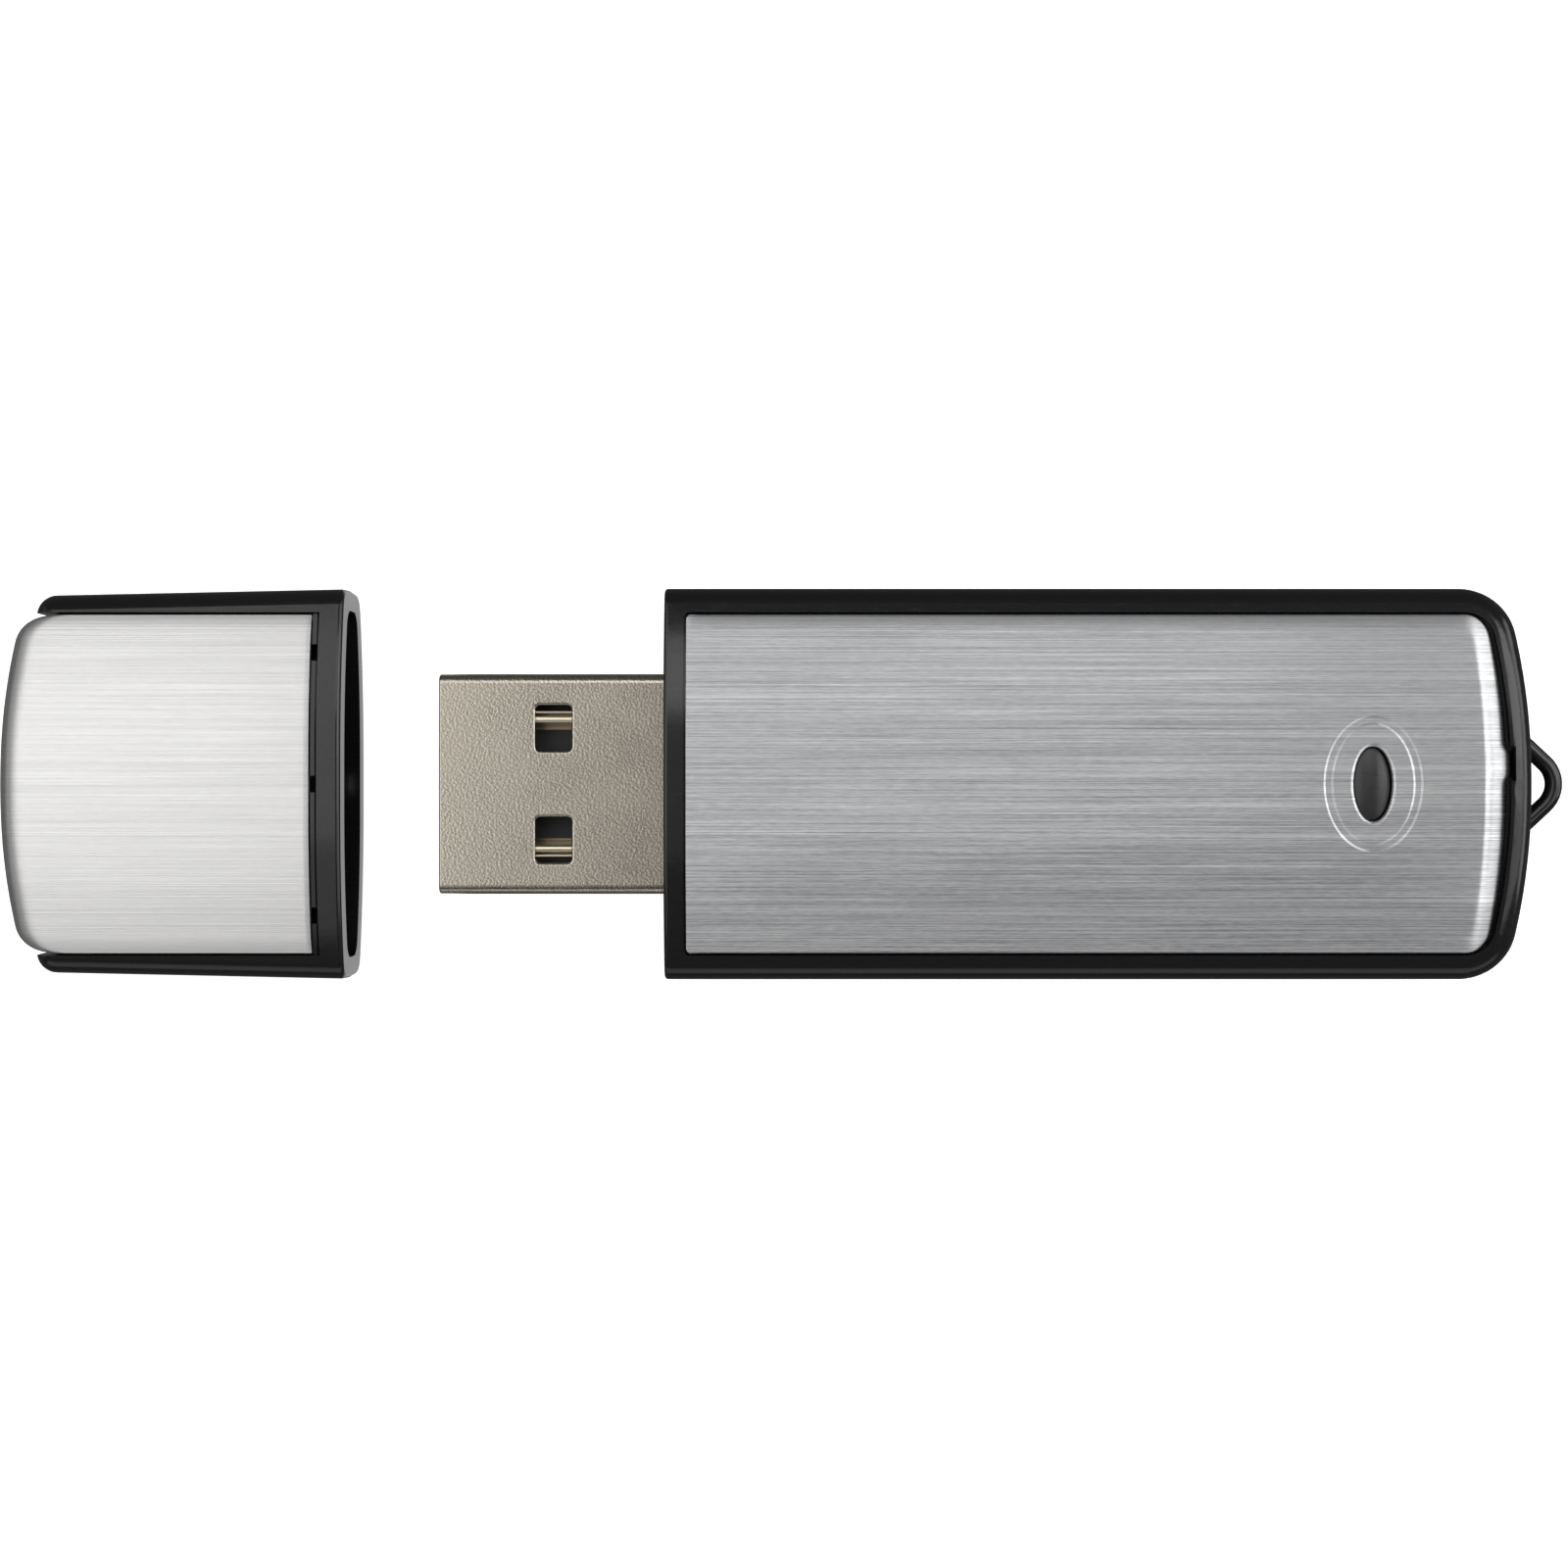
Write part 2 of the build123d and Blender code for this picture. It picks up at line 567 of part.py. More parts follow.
def contact(name, y):
    """Spring strip along the tongue, down behind the insulator to a foot on the board."""
    top_z = TONGUE_TOP_Z + CONTACT_PROUD
    front_x = contact_front(name)
    down_x = PLUG_REAR_X + CONTACT_THICK
    foot_x = down_x + FOOT_LENGTH
    with BuildPart() as strip:
        with BuildSketch(Plane(origin=(0, y, 0), x_dir=(1, 0, 0), z_dir=(0, -1, 0))):
            with BuildLine():
                Polyline(
                    (front_x, top_z),
                    (down_x, top_z),
                    (down_x, BOARD_TOP_Z + CONTACT_THICK),
                    (foot_x, BOARD_TOP_Z + CONTACT_THICK),
                    (foot_x, BOARD_TOP_Z),
                    (down_x - CONTACT_THICK, BOARD_TOP_Z),
                    (down_x - CONTACT_THICK, top_z - CONTACT_THICK),
                    (front_x, top_z - CONTACT_THICK),
                    close=True,
                )
            make_face()
        extrude(amount=CONTACT_WIDTH / 2, both=True)
    return strip.part


for name, y in CONTACTS.items():
    finish(contact(name, y), name)


# ---- board and what is soldered to it ----
def package(centre_x, centre_y, size, z_from, corner):
    """Body of a chip or of a small component, with its top edges broken."""
    length, width, height = size
    with BuildPart() as body:
        with BuildSketch(Plane.XY.offset(z_from)):
            with Locations((centre_x, centre_y)):
                Rectangle(length, width)
        extrude(amount=height)
        chamfer(body.edges().group_by(Axis.Z)[-1], length=corner)
    return body.part


def gull_leads(side_at, count, along_y, centre_x):
    """Rows of gull-wing leads on two sides of a chip: each steps from the side of the body,
    side_at from its centre, down to a foot on the board."""
    foot_at = side_at + LEAD_REACH
    knee = side_at + LEAD_SHOULDER
    profile = [
        (side_at, LEAD_ROOT_Z),
        (knee, LEAD_ROOT_Z),
        (knee, BOARD_TOP_Z + LEAD_THICK),
        (foot_at, BOARD_TOP_Z + LEAD_THICK),
        (foot_at, BOARD_TOP_Z),
        (knee - LEAD_THICK, BOARD_TOP_Z),
        (knee - LEAD_THICK, LEAD_ROOT_Z - LEAD_THICK),
        (side_at, LEAD_ROOT_Z - LEAD_THICK),
    ]
    leads = []
    for turn in (0, 180):
        row = Plane(origin=(centre_x, 0, 0)).rotated((0, 0, turn + (90 if along_y else 0)))
        for i in range(count):
            place = (i - (count - 1) / 2) * LEAD_PITCH
            plane = Plane(origin=row.from_local_coords((0, place, 0)), x_dir=row.x_dir, z_dir=-row.y_dir)
            with BuildPart() as lead:
                with BuildSketch(plane):
                    with BuildLine():
                        Polyline(*profile, close=True)
                    make_face()
                extrude(amount=LEAD_WIDTH / 2, both=True)
            leads.append(lead.part)
    return leads


with BuildPart() as circuit_board:
    with BuildSketch(Plane.XY.offset(BOARD_TOP_Z - BOARD_THICK)):
        with Locations(((BOARD_EAR_X + BOARD_TAIL_X) / 2, 0)):
            RectangleRounded(BOARD_TAIL_X - BOARD_EAR_X, 2 * BOARD_HALF, BOARD_CORNER_R)
        with Locations((BOARD_FRONT_X - BOARD_NOTCH_LENGTH / 2, 0)):
            Rectangle(BOARD_NOTCH_LENGTH, PLUG_WIDTH + 2 * BOARD_NOTCH_GAP, mode=Mode.SUBTRACT)
    extrude(amount=BOARD_THICK)

memory_body = package(MEMORY_X, 0, MEMORY_SIZE, CHIP_Z, CHIP_CHAMFER)
controller_body = package(CONTROLLER_X, 0, CONTROLLER_SIZE, CHIP_Z, CHIP_CHAMFER)
memory_leads = gull_leads(MEMORY_SIZE[0] / 2, MEMORY_LEADS, False, MEMORY_X)
controller_leads = []
for along_y in (False, True):
    controller_leads += gull_leads(CONTROLLER_SIZE[0] / 2, CONTROLLER_LEADS, along_y, CONTROLLER_X)
crystal_can = package(CONTROLLER_X, CRYSTAL_Y, CRYSTAL_SIZE, BOARD_TOP_Z, CHIP_CHAMFER)
led_body = package(WINDOW_X, 0, LED_SIZE, BOARD_TOP_Z, SMALL_CHAMFER)
capacitors = [package(x, y, CAPACITOR_SIZE, BOARD_TOP_Z, SMALL_CHAMFER) for x, y in CAPACITOR_PLACES]
resistors = [package(x, y, RESISTOR_SIZE, BOARD_TOP_Z, SMALL_CHAMFER) for x, y in RESISTOR_PLACES]


def solder_bead(centre_x, centre_y, length, width):
    """Flat bead of solder on the board, rounded over its top."""
    with BuildPart() as bead:
        with BuildSketch(Plane.XY.offset(BOARD_TOP_Z)):
            with Locations((centre_x, centre_y)):
                RectangleRounded(length, width, BEAD_WIDTH * 0.3)
        extrude(amount=BEAD_HEIGHT)
        fillet(bead.edges().group_by(Axis.Z)[-1], radius=BEAD_HEIGHT * 0.6)
    return bead.part


foot_bead_x = PLUG_REAR_X + CONTACT_THICK + FOOT_LENGTH + BEAD_WIDTH / 2
tab_bead_y = PLUG_WIDTH / 2 + TAB_REACH + BEAD_WIDTH / 2
contact_beads = [solder_bead(foot_bead_x, y, BEAD_WIDTH, CONTACT_WIDTH + 0.1) for y in CONTACTS.values()]
tab_beads = [solder_bead(TAB_X, side * tab_bead_y, TAB_LENGTH, BEAD_WIDTH) for side in (-1, 1)]

finish(circuit_board.part, "circuit_board")
finish(memory_body, "memory_chip")
finish(controller_body, "controller_chip")
finish(crystal_can, "crystal")
finish(led_body, "status_led")
finish(Compound(memory_leads), "memory_chip_leads")
finish(Compound(controller_leads), "controller_chip_leads")
finish(Compound(capacitors), "capacitors")
finish(Compound(resistors), "resistors")
finish(Compound(contact_beads), "contact_solder")
finish(Compound(tab_beads), "tab_solder")


# ---- cap ----
def rounded_end_block(inset, open_x, half_width, corner_r):
    """Crowned block whose closed end is rounded over at top and bottom."""
    with BuildPart() as block:
        add(outline(open_x, CAP_END_X + inset, half_width, half_width, corner_r, radius=END_R - inset))
        extrude(amount=THICK, both=True)
        add(crowned_slab(inset, CAP_END_X - 1, open_x, WIDTH / 2), mode=Mode.INTERSECT)
        reach_x = CAP_END_X + inset + end_sag(half_width) + corner_r
        ends = block.edges().filter_by(
            lambda e: e.center().X < reach_x
            and abs(e.center().Z - MID_Z) > THICK / 2 - 1.6
            and e.bounding_box().size.Y > 0.3
        )
        fillet(ends, radius=WRAP_END_ROLL - inset)
    return block.part


def crimp_places(z):
    return [(WRAP_EDGE_X, y, z) for y in CRIMP_YS]


channel_half = WRAP_HALF + WRAP_SIDE_GAP
channel_x = WRAP_EDGE_X + LEDGE
core_inset = WRAP_SHEET + TAPE
side_slope = (CAP_RIM_HALF - CAP_TAIL_HALF) / (RIM_X - RAIL_END_X)

with BuildPart() as cap_hull:
    add(outline(RIM_X + 3, RAIL_END_X, CAP_RIM_HALF + 3 * side_slope, CAP_TAIL_HALF, RAIL_CORNER_R))
    extrude(amount=THICK / 2, both=True, taper=DRAFT)
    add(crowned_slab(FRAME_DROP, RAIL_END_X - 1, RIM_X, WIDTH / 2 + 1), mode=Mode.INTERSECT)
    roll = cap_hull.edges().filter_by(lambda e: is_top_or_bottom(e, CAP_TAIL_HALF, RAIL_END_X + 1.5))
    fillet(roll.filter_by(lambda e: abs(e.center().X - RIM_X) > 0.01), radius=FRAME_ROLL)

with BuildPart() as socket:
    add(crowned_slab(SOCKET_WALL, RIM_X - SOCKET_DEPTH, RIM_X + 1, SOCKET_HALF))
    corners = socket.edges().filter_by(Axis.X).filter_by(
        lambda e: abs(e.center().Y) > SOCKET_HALF - 0.01 and abs(e.center().Z - MID_Z) > 1
    )
    fillet(corners, radius=SOCKET_CORNER_R)

with BuildPart() as cap_core:
    add(cap_hull.part)
    rim = cap_core.faces().sort_by(Axis.X)[-1]
    fillet(rim.edges(), radius=RIM_EASE)
    with Locations((channel_x, 0, MID_Z)):
        Box(FAR, 2 * channel_half, FAR, align=(Align.MAX, Align.CENTER, Align.CENTER), mode=Mode.SUBTRACT)
    add(rounded_end_block(core_inset, channel_x, WRAP_HALF - core_inset, WRAP_CORNER_R - core_inset))
    add(crowned_slab(core_inset, SLIT_X, channel_x, channel_half))
    add(crowned_slab(LEDGE_INSET, WRAP_EDGE_X + CRIMP_CLEARANCE, channel_x - LEDGE_GROOVE, channel_half))
    add(socket.part, mode=Mode.SUBTRACT)
    # Slots for the tabs that crimp the wrap to the core.
    for side in (-1, 1):
        with Locations(*crimp_places(MID_Z + side * THICK / 2)):
            Box(
                2 * LEDGE,
                CRIMP_WIDTH + 2 * CRIMP_CLEARANCE,
                2 * (SOCKET_WALL + 0.5),
                mode=Mode.SUBTRACT,
            )
    # Two webs flank the plug, and low ribs lie above and below it.
    web_x = RIM_X - SOCKET_DEPTH
    for side in (-1, 1):
        with BuildSketch(section_plane(web_x)):
            with Locations((side * (WEB_Y + WEB_THICK / 2), 0)):
                Rectangle(WEB_THICK, THICK - 2 * (SOCKET_WALL - RIB_BITE))
            rib_low = PLUG_HEIGHT / 2 + CRUSH_RIB_GAP
            rib_high = THICK / 2 - SOCKET_WALL + RIB_BITE
            with Locations(*[(side * CRUSH_RIB_Y, up * (rib_low + rib_high) / 2) for up in (-1, 1)]):
                Rectangle(CRUSH_RIB_WIDTH, rib_high - rib_low)
        extrude(amount=WEB_LENGTH)

with BuildPart() as cap_wrap:
    add(rounded_end_block(0, WRAP_EDGE_X, WRAP_HALF, WRAP_CORNER_R))
    add(
        rounded_end_block(WRAP_SHEET, WRAP_EDGE_X + 1, WRAP_HALF - WRAP_SHEET, WRAP_CORNER_R - WRAP_SHEET),
        mode=Mode.SUBTRACT,
    )
    add(crowned_slab(WRAP_SHEET, SLIT_X - 2 * LEDGE, WRAP_EDGE_X + 1, WIDTH / 2 + 1), mode=Mode.SUBTRACT)
    for side in (-1, 1):
        with Locations(*crimp_places(MID_Z + side * (THICK / 2 - WRAP_SHEET / 2))):
            Box(
                WRAP_SHEET - 0.1,
                CRIMP_WIDTH,
                CRIMP_REACH,
                align=(Align.MAX, Align.CENTER, Align.MAX if side > 0 else Align.MIN),
            )

with BuildPart() as cap_tape:
    for side in (-1, 1):
        with Locations(((SLIT_X + WRAP_EDGE_X) / 2, 0, MID_Z + side * THICK / 4)):
            Box(WRAP_EDGE_X - SLIT_X - 3, 2 * (WRAP_HALF - TAPE_INSET), THICK / 2)
    add(crowned_slab(WRAP_SHEET, CAP_END_X, RIM_X, WIDTH / 2), mode=Mode.INTERSECT)
    add(crowned_slab(core_inset, CAP_END_X - 1, RIM_X + 1, WIDTH / 2), mode=Mode.SUBTRACT)

finish(cap_core.part, "cap_core")
finish(cap_wrap.part, "cap_wrap")
finish(cap_tape.part, "cap_tape")
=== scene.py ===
"""USB flash drive with its cap off, on a white table, seen from straight above."""

import math

import bmesh
import bpy
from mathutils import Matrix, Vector


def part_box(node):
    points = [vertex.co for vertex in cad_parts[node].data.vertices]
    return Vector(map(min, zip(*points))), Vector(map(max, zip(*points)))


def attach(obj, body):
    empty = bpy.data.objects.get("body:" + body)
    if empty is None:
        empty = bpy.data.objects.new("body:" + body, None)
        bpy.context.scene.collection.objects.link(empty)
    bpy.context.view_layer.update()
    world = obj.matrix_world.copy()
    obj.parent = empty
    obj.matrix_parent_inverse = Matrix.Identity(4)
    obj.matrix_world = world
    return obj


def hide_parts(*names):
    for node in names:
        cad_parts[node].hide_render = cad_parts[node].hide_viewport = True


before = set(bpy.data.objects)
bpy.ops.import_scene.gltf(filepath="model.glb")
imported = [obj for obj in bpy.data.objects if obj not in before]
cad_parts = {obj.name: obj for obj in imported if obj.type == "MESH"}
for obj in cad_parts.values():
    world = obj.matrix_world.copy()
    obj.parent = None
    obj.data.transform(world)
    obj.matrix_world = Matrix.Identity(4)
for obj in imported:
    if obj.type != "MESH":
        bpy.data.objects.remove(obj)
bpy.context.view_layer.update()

MM = 0.001

# ---- places read from the frame, in millimetres ----


def box_mm(node):
    low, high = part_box(node)
    return low / MM, high / MM


plate_low, plate_high = box_mm("front_plate")
wrap_low, wrap_high = box_mm("cap_wrap")
lens_low, lens_high = box_mm("led_lens")
plug_tip_x = box_mm("plug_shell")[0].x
tongue_high = box_mm("plug_tongue")[1]
rim_x = box_mm("cap_core")[1].x
shoulder_x = box_mm("upper_shell")[0].x

THICK = wrap_high.z                # crown to crown
MID_Z = THICK / 2
CROWN_FLAT = 1.5                   # half width of the flat land along each crown
CROWN_R = 30.0
END_R = 48.0                       # convex end edges, seen from above

# ---- pressed plates ----
PLATE_TAB_REACH = 0.25
PLATE_FRONT_X = plate_low.x
PLATE_TAIL_X = plate_high.x - PLATE_TAB_REACH
PLATE_HALF = plate_high.y
PLATE_CORNER_R = 1.45
PLATE_FRONT_R = 0.25
PLATE_SHEET = 0.4
PLATE_RIM_DEPTH = 0.8
PLATE_RIM_WIDTH = 0.6
ROLL_TAIL = 1.35                   # width of the rolled margin, seen from above
ROLL_SIDE = 0.9
ROLL_FRONT = 0.16
TAIL_SLOPE = 0.26                  # fall of the margin beyond the fold at the tail
FOLD_R = 0.15                      # softness of that fold
FOLD_BOW = 0.2                     # how much of the bow of the tail edge the fold follows
FOLD_RANGE = 1.5                   # the fold is level farther than this in front of its line
FRONT_FADE = 0.8                   # the curl of the sides fades out this near the front edge
MARGIN_CURL = 0.2                  # side and tail margins curl down by this much
LIP_DROP = 0.14                    # the margin ends in a small round lip
LIP_WIDTH = 0.15                   # width of the lip as a part of the margin's width
PLATE_TAB_Y = 1.1
PLATE_TAB_HALF = 0.75
PLATE_TAB_EASE = 0.3

# ---- light window ----
WINDOW_X = (lens_low.x + lens_high.x) / 2
WINDOW_RADII = (1.02, 2.015)
RING_OUTER = (2.685, 3.685)
RING_INNER = (2.15, 3.18)
RING_DEPTH = 0.07
RING_WALL = 0.12
RING_LAND = 0.3                    # the first ring of points lies this far outside an edge
WINDOW_BEVEL = 0.2

# ---- cap wrap ----
WRAP_SHEET = 0.45
WRAP_CORNER_R = 1.7
WRAP_END_ROLL = 1.5
WRAP_MARGIN = 0.8
WRAP_MARGIN_DEPTH = 0.13


def crown_z(y):
    """Height of the crowned outer surface at a distance y from the middle."""
    across = max(abs(y) - CROWN_FLAT, 0.0)
    return THICK - (CROWN_R - math.sqrt(CROWN_R**2 - across**2))


# ---- mesh helpers ----
SHARP_ANGLE = math.radians(26)


def new_object(name, points_mm, faces, body, material, replaces=()):
    """Mesh object from points in millimetres, riding on a body."""
    mesh = bpy.data.meshes.new(name)
    mesh.from_pydata([Vector(p) * MM for p in points_mm], [], faces)
    work = bmesh.new()
    work.from_mesh(mesh)
    bmesh.ops.remove_doubles(work, verts=work.verts, dist=1e-7)
    bmesh.ops.recalc_face_normals(work, faces=work.faces)
    for face in work.faces:
        face.smooth = True
    for edge in work.edges:
        edge.smooth = not edge.is_manifold or edge.calc_face_angle() < SHARP_ANGLE
    work.to_mesh(mesh)
    work.free()
    piece = bpy.data.objects.new(name, mesh)
    bpy.context.scene.collection.objects.link(piece)
    mesh.materials.append(material)
    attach(piece, body)
    if replaces:
        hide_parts(*replaces)
    return piece


def spread(start, end, count):
    return [start + (end - start) * i / count for i in range(count + 1)]


def smooth_step(value):
    value = min(max(value, 0.0), 1.0)
    return value * value * (3 - 2 * value)


def weighted_normals(piece, bevel_mm=0.0):
    if bevel_mm:
        bevel = piece.modifiers.new("edge_ease", "BEVEL")
        bevel.width = bevel_mm * MM
        bevel.segments = 2
        bevel.limit_method = "ANGLE"
        bevel.angle_limit = math.radians(50)
    modifier = piece.modifiers.new("weighted_normals", "WEIGHTED_NORMAL")
    modifier.keep_sharp = True


# ---- node helpers ----
def new_material(name):
    material = bpy.data.materials.new(name)
    material.use_nodes = True
    tree = material.node_tree
    return material, tree, tree.nodes["Principled BSDF"]


def object_coordinates(tree, scale, shift=(0, 0, 0)):
    """Object coordinates in millimetres, moved by shift and then stretched by scale."""
    source = tree.nodes.new("ShaderNodeTexCoord")
    mapping = tree.nodes.new("ShaderNodeMapping")
    mapping.inputs["Location"].default_value = [a * b for a, b in zip(shift, scale)]
    mapping.inputs["Scale"].default_value = [a / MM for a in scale]
    tree.links.new(source.outputs["Object"], mapping.inputs["Vector"])
    return mapping.outputs["Vector"]


def noise(tree, scale, detail=2.0, roughness=0.5, shift=(0, 0, 0)):
    node = tree.nodes.new("ShaderNodeTexNoise")
    node.inputs["Scale"].default_value = 1.0
    node.inputs["Detail"].default_value = detail
    node.inputs["Roughness"].default_value = roughness
    tree.links.new(object_coordinates(tree, scale, shift), node.inputs["Vector"])
    return node.outputs["Fac"]


def remap(tree, value, low, high, to_low, to_high):
    node = tree.nodes.new("ShaderNodeMapRange")
    for key, number in (("From Min", low), ("From Max", high), ("To Min", to_low), ("To Max", to_high)):
        node.inputs[key].default_value = number
    tree.links.new(value, node.inputs["Value"])
    return node.outputs["Result"]


def math_node(tree, operation, first, second):
    node = tree.nodes.new("ShaderNodeMath")
    node.operation = operation
    for socket, value in zip(node.inputs, (first, second)):
        if isinstance(value, (int, float)):
            socket.default_value = value
        else:
            tree.links.new(value, socket)
    return node.outputs["Value"]


def weighted_sum(tree, terms):
    total = None
    for value, weight in terms:
        part = math_node(tree, "MULTIPLY", value, weight)
        total = part if total is None else math_node(tree, "ADD", total, part)
    return total


def blend_colours(tree, factor, dark, light):
    node = tree.nodes.new("ShaderNodeMix")
    node.data_type = "RGBA"
    first, second = [socket for socket in node.inputs if socket.type == "RGBA"]
    first.default_value = (*dark, 1)
    second.default_value = (*light, 1)
    tree.links.new(factor, node.inputs["Factor"])
    return [socket for socket in node.outputs if socket.type == "RGBA"][0]


def bump(tree, bsdf, height, distance_mm, strength=1.0):
    node = tree.nodes.new("ShaderNodeBump")
    node.inputs["Strength"].default_value = strength
    node.inputs["Distance"].default_value = distance_mm * MM
    tree.links.new(height, node.inputs["Height"])
    tree.links.new(node.outputs["Normal"], bsdf.inputs["Normal"])


# ---- materials ----
def brushed_aluminium(name, dark, light, shallow=1.0, deep=1.0):
    """Grain along X: lines as fine as a hair, some across the whole plate and some short.
    The grain is shallow along the +Y edge and deep along the -Y edge."""
    material, tree, bsdf = new_material(name)
    long_lines = noise(tree, (1 / 45, 17.0, 1 / 45), 1.0, 0.6)
    lines = noise(tree, (1 / 7, 13.0, 1 / 7), 1.0, 0.6)
    nicks = noise(tree, (1.6, 16.0, 1.6), 1.0, 0.5)
    bands = noise(tree, (1 / 60, 1.3, 1 / 60), 2.0, 0.5)
    grain = weighted_sum(tree, ((long_lines, 0.5), (lines, 0.3), (nicks, 0.2)))
    tone = weighted_sum(tree, ((grain, 0.85), (bands, 0.15)))
    place = tree.nodes.new("ShaderNodeSeparateXYZ")
    tree.links.new(object_coordinates(tree, (1, 1, 1)), place.inputs["Vector"])
    depth = remap(tree, place.outputs["Y"], 9, -9, shallow, deep)
    spread_tone = math_node(tree, "MULTIPLY", math_node(tree, "SUBTRACT", tone, 0.5), depth)
    level = remap(tree, spread_tone, -0.15, 0.15, 0.0, 1.0)
    tree.links.new(blend_colours(tree, level, dark, light), bsdf.inputs["Base Color"])
    tree.links.new(remap(tree, tone, 0.3, 0.7, 0.46, 0.38), bsdf.inputs["Roughness"])
    bsdf.inputs["Metallic"].default_value = 1.0
    bsdf.inputs["Anisotropic"].default_value = 0.85
    across = tree.nodes.new("ShaderNodeCombineXYZ")
    across.inputs["Y"].default_value = 1.0
    across.inputs["Z"].default_value = 0.03
    tree.links.new(across.outputs["Vector"], bsdf.inputs["Tangent"])
    bump(tree, bsdf, grain, 0.02, 1.0)
    return material


def black_plastic(name, colour=0.008, roughness=0.16):
    """Moulded gloss black with a faint ripple and fine wiping scratches."""
    material, tree, bsdf = new_material(name)
    ripple = noise(tree, (1.2, 1.2, 1.2), 2.0, 0.5)
    scratch = noise(tree, (0.8, 30.0, 14.0), 4.0, 0.75)
    grain = noise(tree, (22.0, 22.0, 22.0), 3.0, 0.6)
    tone = (colour * 0.8, colour * 0.78, colour * 0.76)
    light = (colour * 1.25, colour * 1.2, colour * 1.18)
    tree.links.new(blend_colours(tree, grain, tone, light), bsdf.inputs["Base Color"])
    marks = remap(tree, scratch, 0.52, 0.72, roughness, roughness + 0.16)
    tree.links.new(marks, bsdf.inputs["Roughness"])
    mixed = weighted_sum(tree, ((ripple, 0.8), (grain, 0.06)))
    bump(tree, bsdf, mixed, 0.012, 0.6)
    bsdf.inputs["IOR"].default_value = 1.5
    return material


def nickel(name):
    """Satin nickel plating with the grainy orange peel of drawn sheet; its colour also carries painted
    light and shade of the peel, lit from one side and stronger towards the body.
    """
    material, tree, bsdf = new_material(name)
    cells = noise(tree, (7.5, 7.5, 7.5), 1.0, 0.5)
    beside = noise(tree, (7.5, 7.5, 7.5), 1.0, 0.5, (-0.045, -0.03, 0))
    fine = noise(tree, (15.0, 15.0, 15.0), 1.0, 0.5)
    cloud = noise(tree, (0.35, 0.35, 0.35), 2.0, 0.5)
    # painted shade and highlight: the cells less a shifted copy darken one side of each bump and
    # lighten the other
    painted_relief_shade = math_node(tree, "SUBTRACT", cells, beside)
    place = tree.nodes.new("ShaderNodeSeparateXYZ")
    tree.links.new(object_coordinates(tree, (1, 1, 1)), place.inputs["Vector"])
    # the painted relief and the fine grain grow in contrast from the plug's tip towards the body
    depth = remap(tree, place.outputs["X"], plug_tip_x, shoulder_x, 0.5, 1.3)
    tone = weighted_sum(tree, ((painted_relief_shade, 1.0), (fine, 0.35)))
    tone = math_node(tree, "MULTIPLY", math_node(tree, "SUBTRACT", tone, 0.175), depth)
    level = remap(tree, tone, -0.16, 0.16, 0.0, 1.0)
    colour = blend_colours(tree, level, (0.33, 0.295, 0.245), (0.56, 0.515, 0.435))
    tree.links.new(colour, bsdf.inputs["Base Color"])
    tree.links.new(remap(tree, cloud, 0.3, 0.7, 0.2, 0.27), bsdf.inputs["Roughness"])
    bsdf.inputs["Metallic"].default_value = 1.0
    bump(tree, bsdf, cells, 0.015, 0.5)
    return material


def smoked_lens(name):
    """Dark plastic with a slight haze."""
    material, tree, bsdf = new_material(name)
    haze = noise(tree, (1.5, 1.5, 1.5), 2.0, 0.5)
    tint = blend_colours(tree, haze, (0.012, 0.012, 0.013), (0.03, 0.03, 0.032))
    tree.links.new(tint, bsdf.inputs["Base Color"])
    tree.links.new(remap(tree, haze, 0.3, 0.7, 0.26, 0.34), bsdf.inputs["Roughness"])
    return material


def matt_solid(name, dark, light, roughness, scale=12.0, metallic=0.0, depth_mm=0.006):
    """Mottled colour and a fine surface grain, for the small parts inside."""
    material, tree, bsdf = new_material(name)
    grain = noise(tree, (scale, scale, scale), 3.0, 0.6)
    level = remap(tree, grain, 0.35, 0.65, 0.0, 1.0)
    tree.links.new(blend_colours(tree, level, dark, light), bsdf.inputs["Base Color"])
    sheen = remap(tree, grain, 0.3, 0.7, roughness - 0.06, roughness + 0.06)
    tree.links.new(sheen, bsdf.inputs["Roughness"])
    bsdf.inputs["Metallic"].default_value = metallic
    bump(tree, bsdf, grain, depth_mm, 0.6)
    return material


def gold_contact(name, dark, light):
    """Gold flash over brass with drawing lines along the strip."""
    material, tree, bsdf = new_material(name)
    lines = noise(tree, (0.12, 16.0, 16.0), 3.0, 0.7)
    level = remap(tree, lines, 0.35, 0.65, 0.0, 1.0)
    tree.links.new(blend_colours(tree, level, dark, light), bsdf.inputs["Base Color"])
    tree.links.new(remap(tree, lines, 0.3, 0.7, 0.22, 0.4), bsdf.inputs["Roughness"])
    bsdf.inputs["Metallic"].default_value = 1.0
    bump(tree, bsdf, lines, 0.01, 0.6)
    return material


# The plates and the wrap are one brushed aluminium. The wrap's fainter grain is its own finish; its
# lighter colour is painted light for the brighter light that falls on the cap
PLATE_METAL = brushed_aluminium("body_plate_metal", (0.40, 0.415, 0.43), (1.0, 1.0, 1.0), 0.65, 1.45)
WRAP_METAL_PAINTED_LIGHT = brushed_aluminium("cap_wrap_metal", (0.80, 0.795, 0.78), (0.94, 0.935, 0.92))
BLACK = black_plastic("gloss_black")
NICKEL = nickel("plug_nickel")
LENS = smoked_lens("smoked_lens")
INSULATOR = matt_solid("insulator", (0.012, 0.012, 0.013), (0.024, 0.024, 0.026), 0.5)
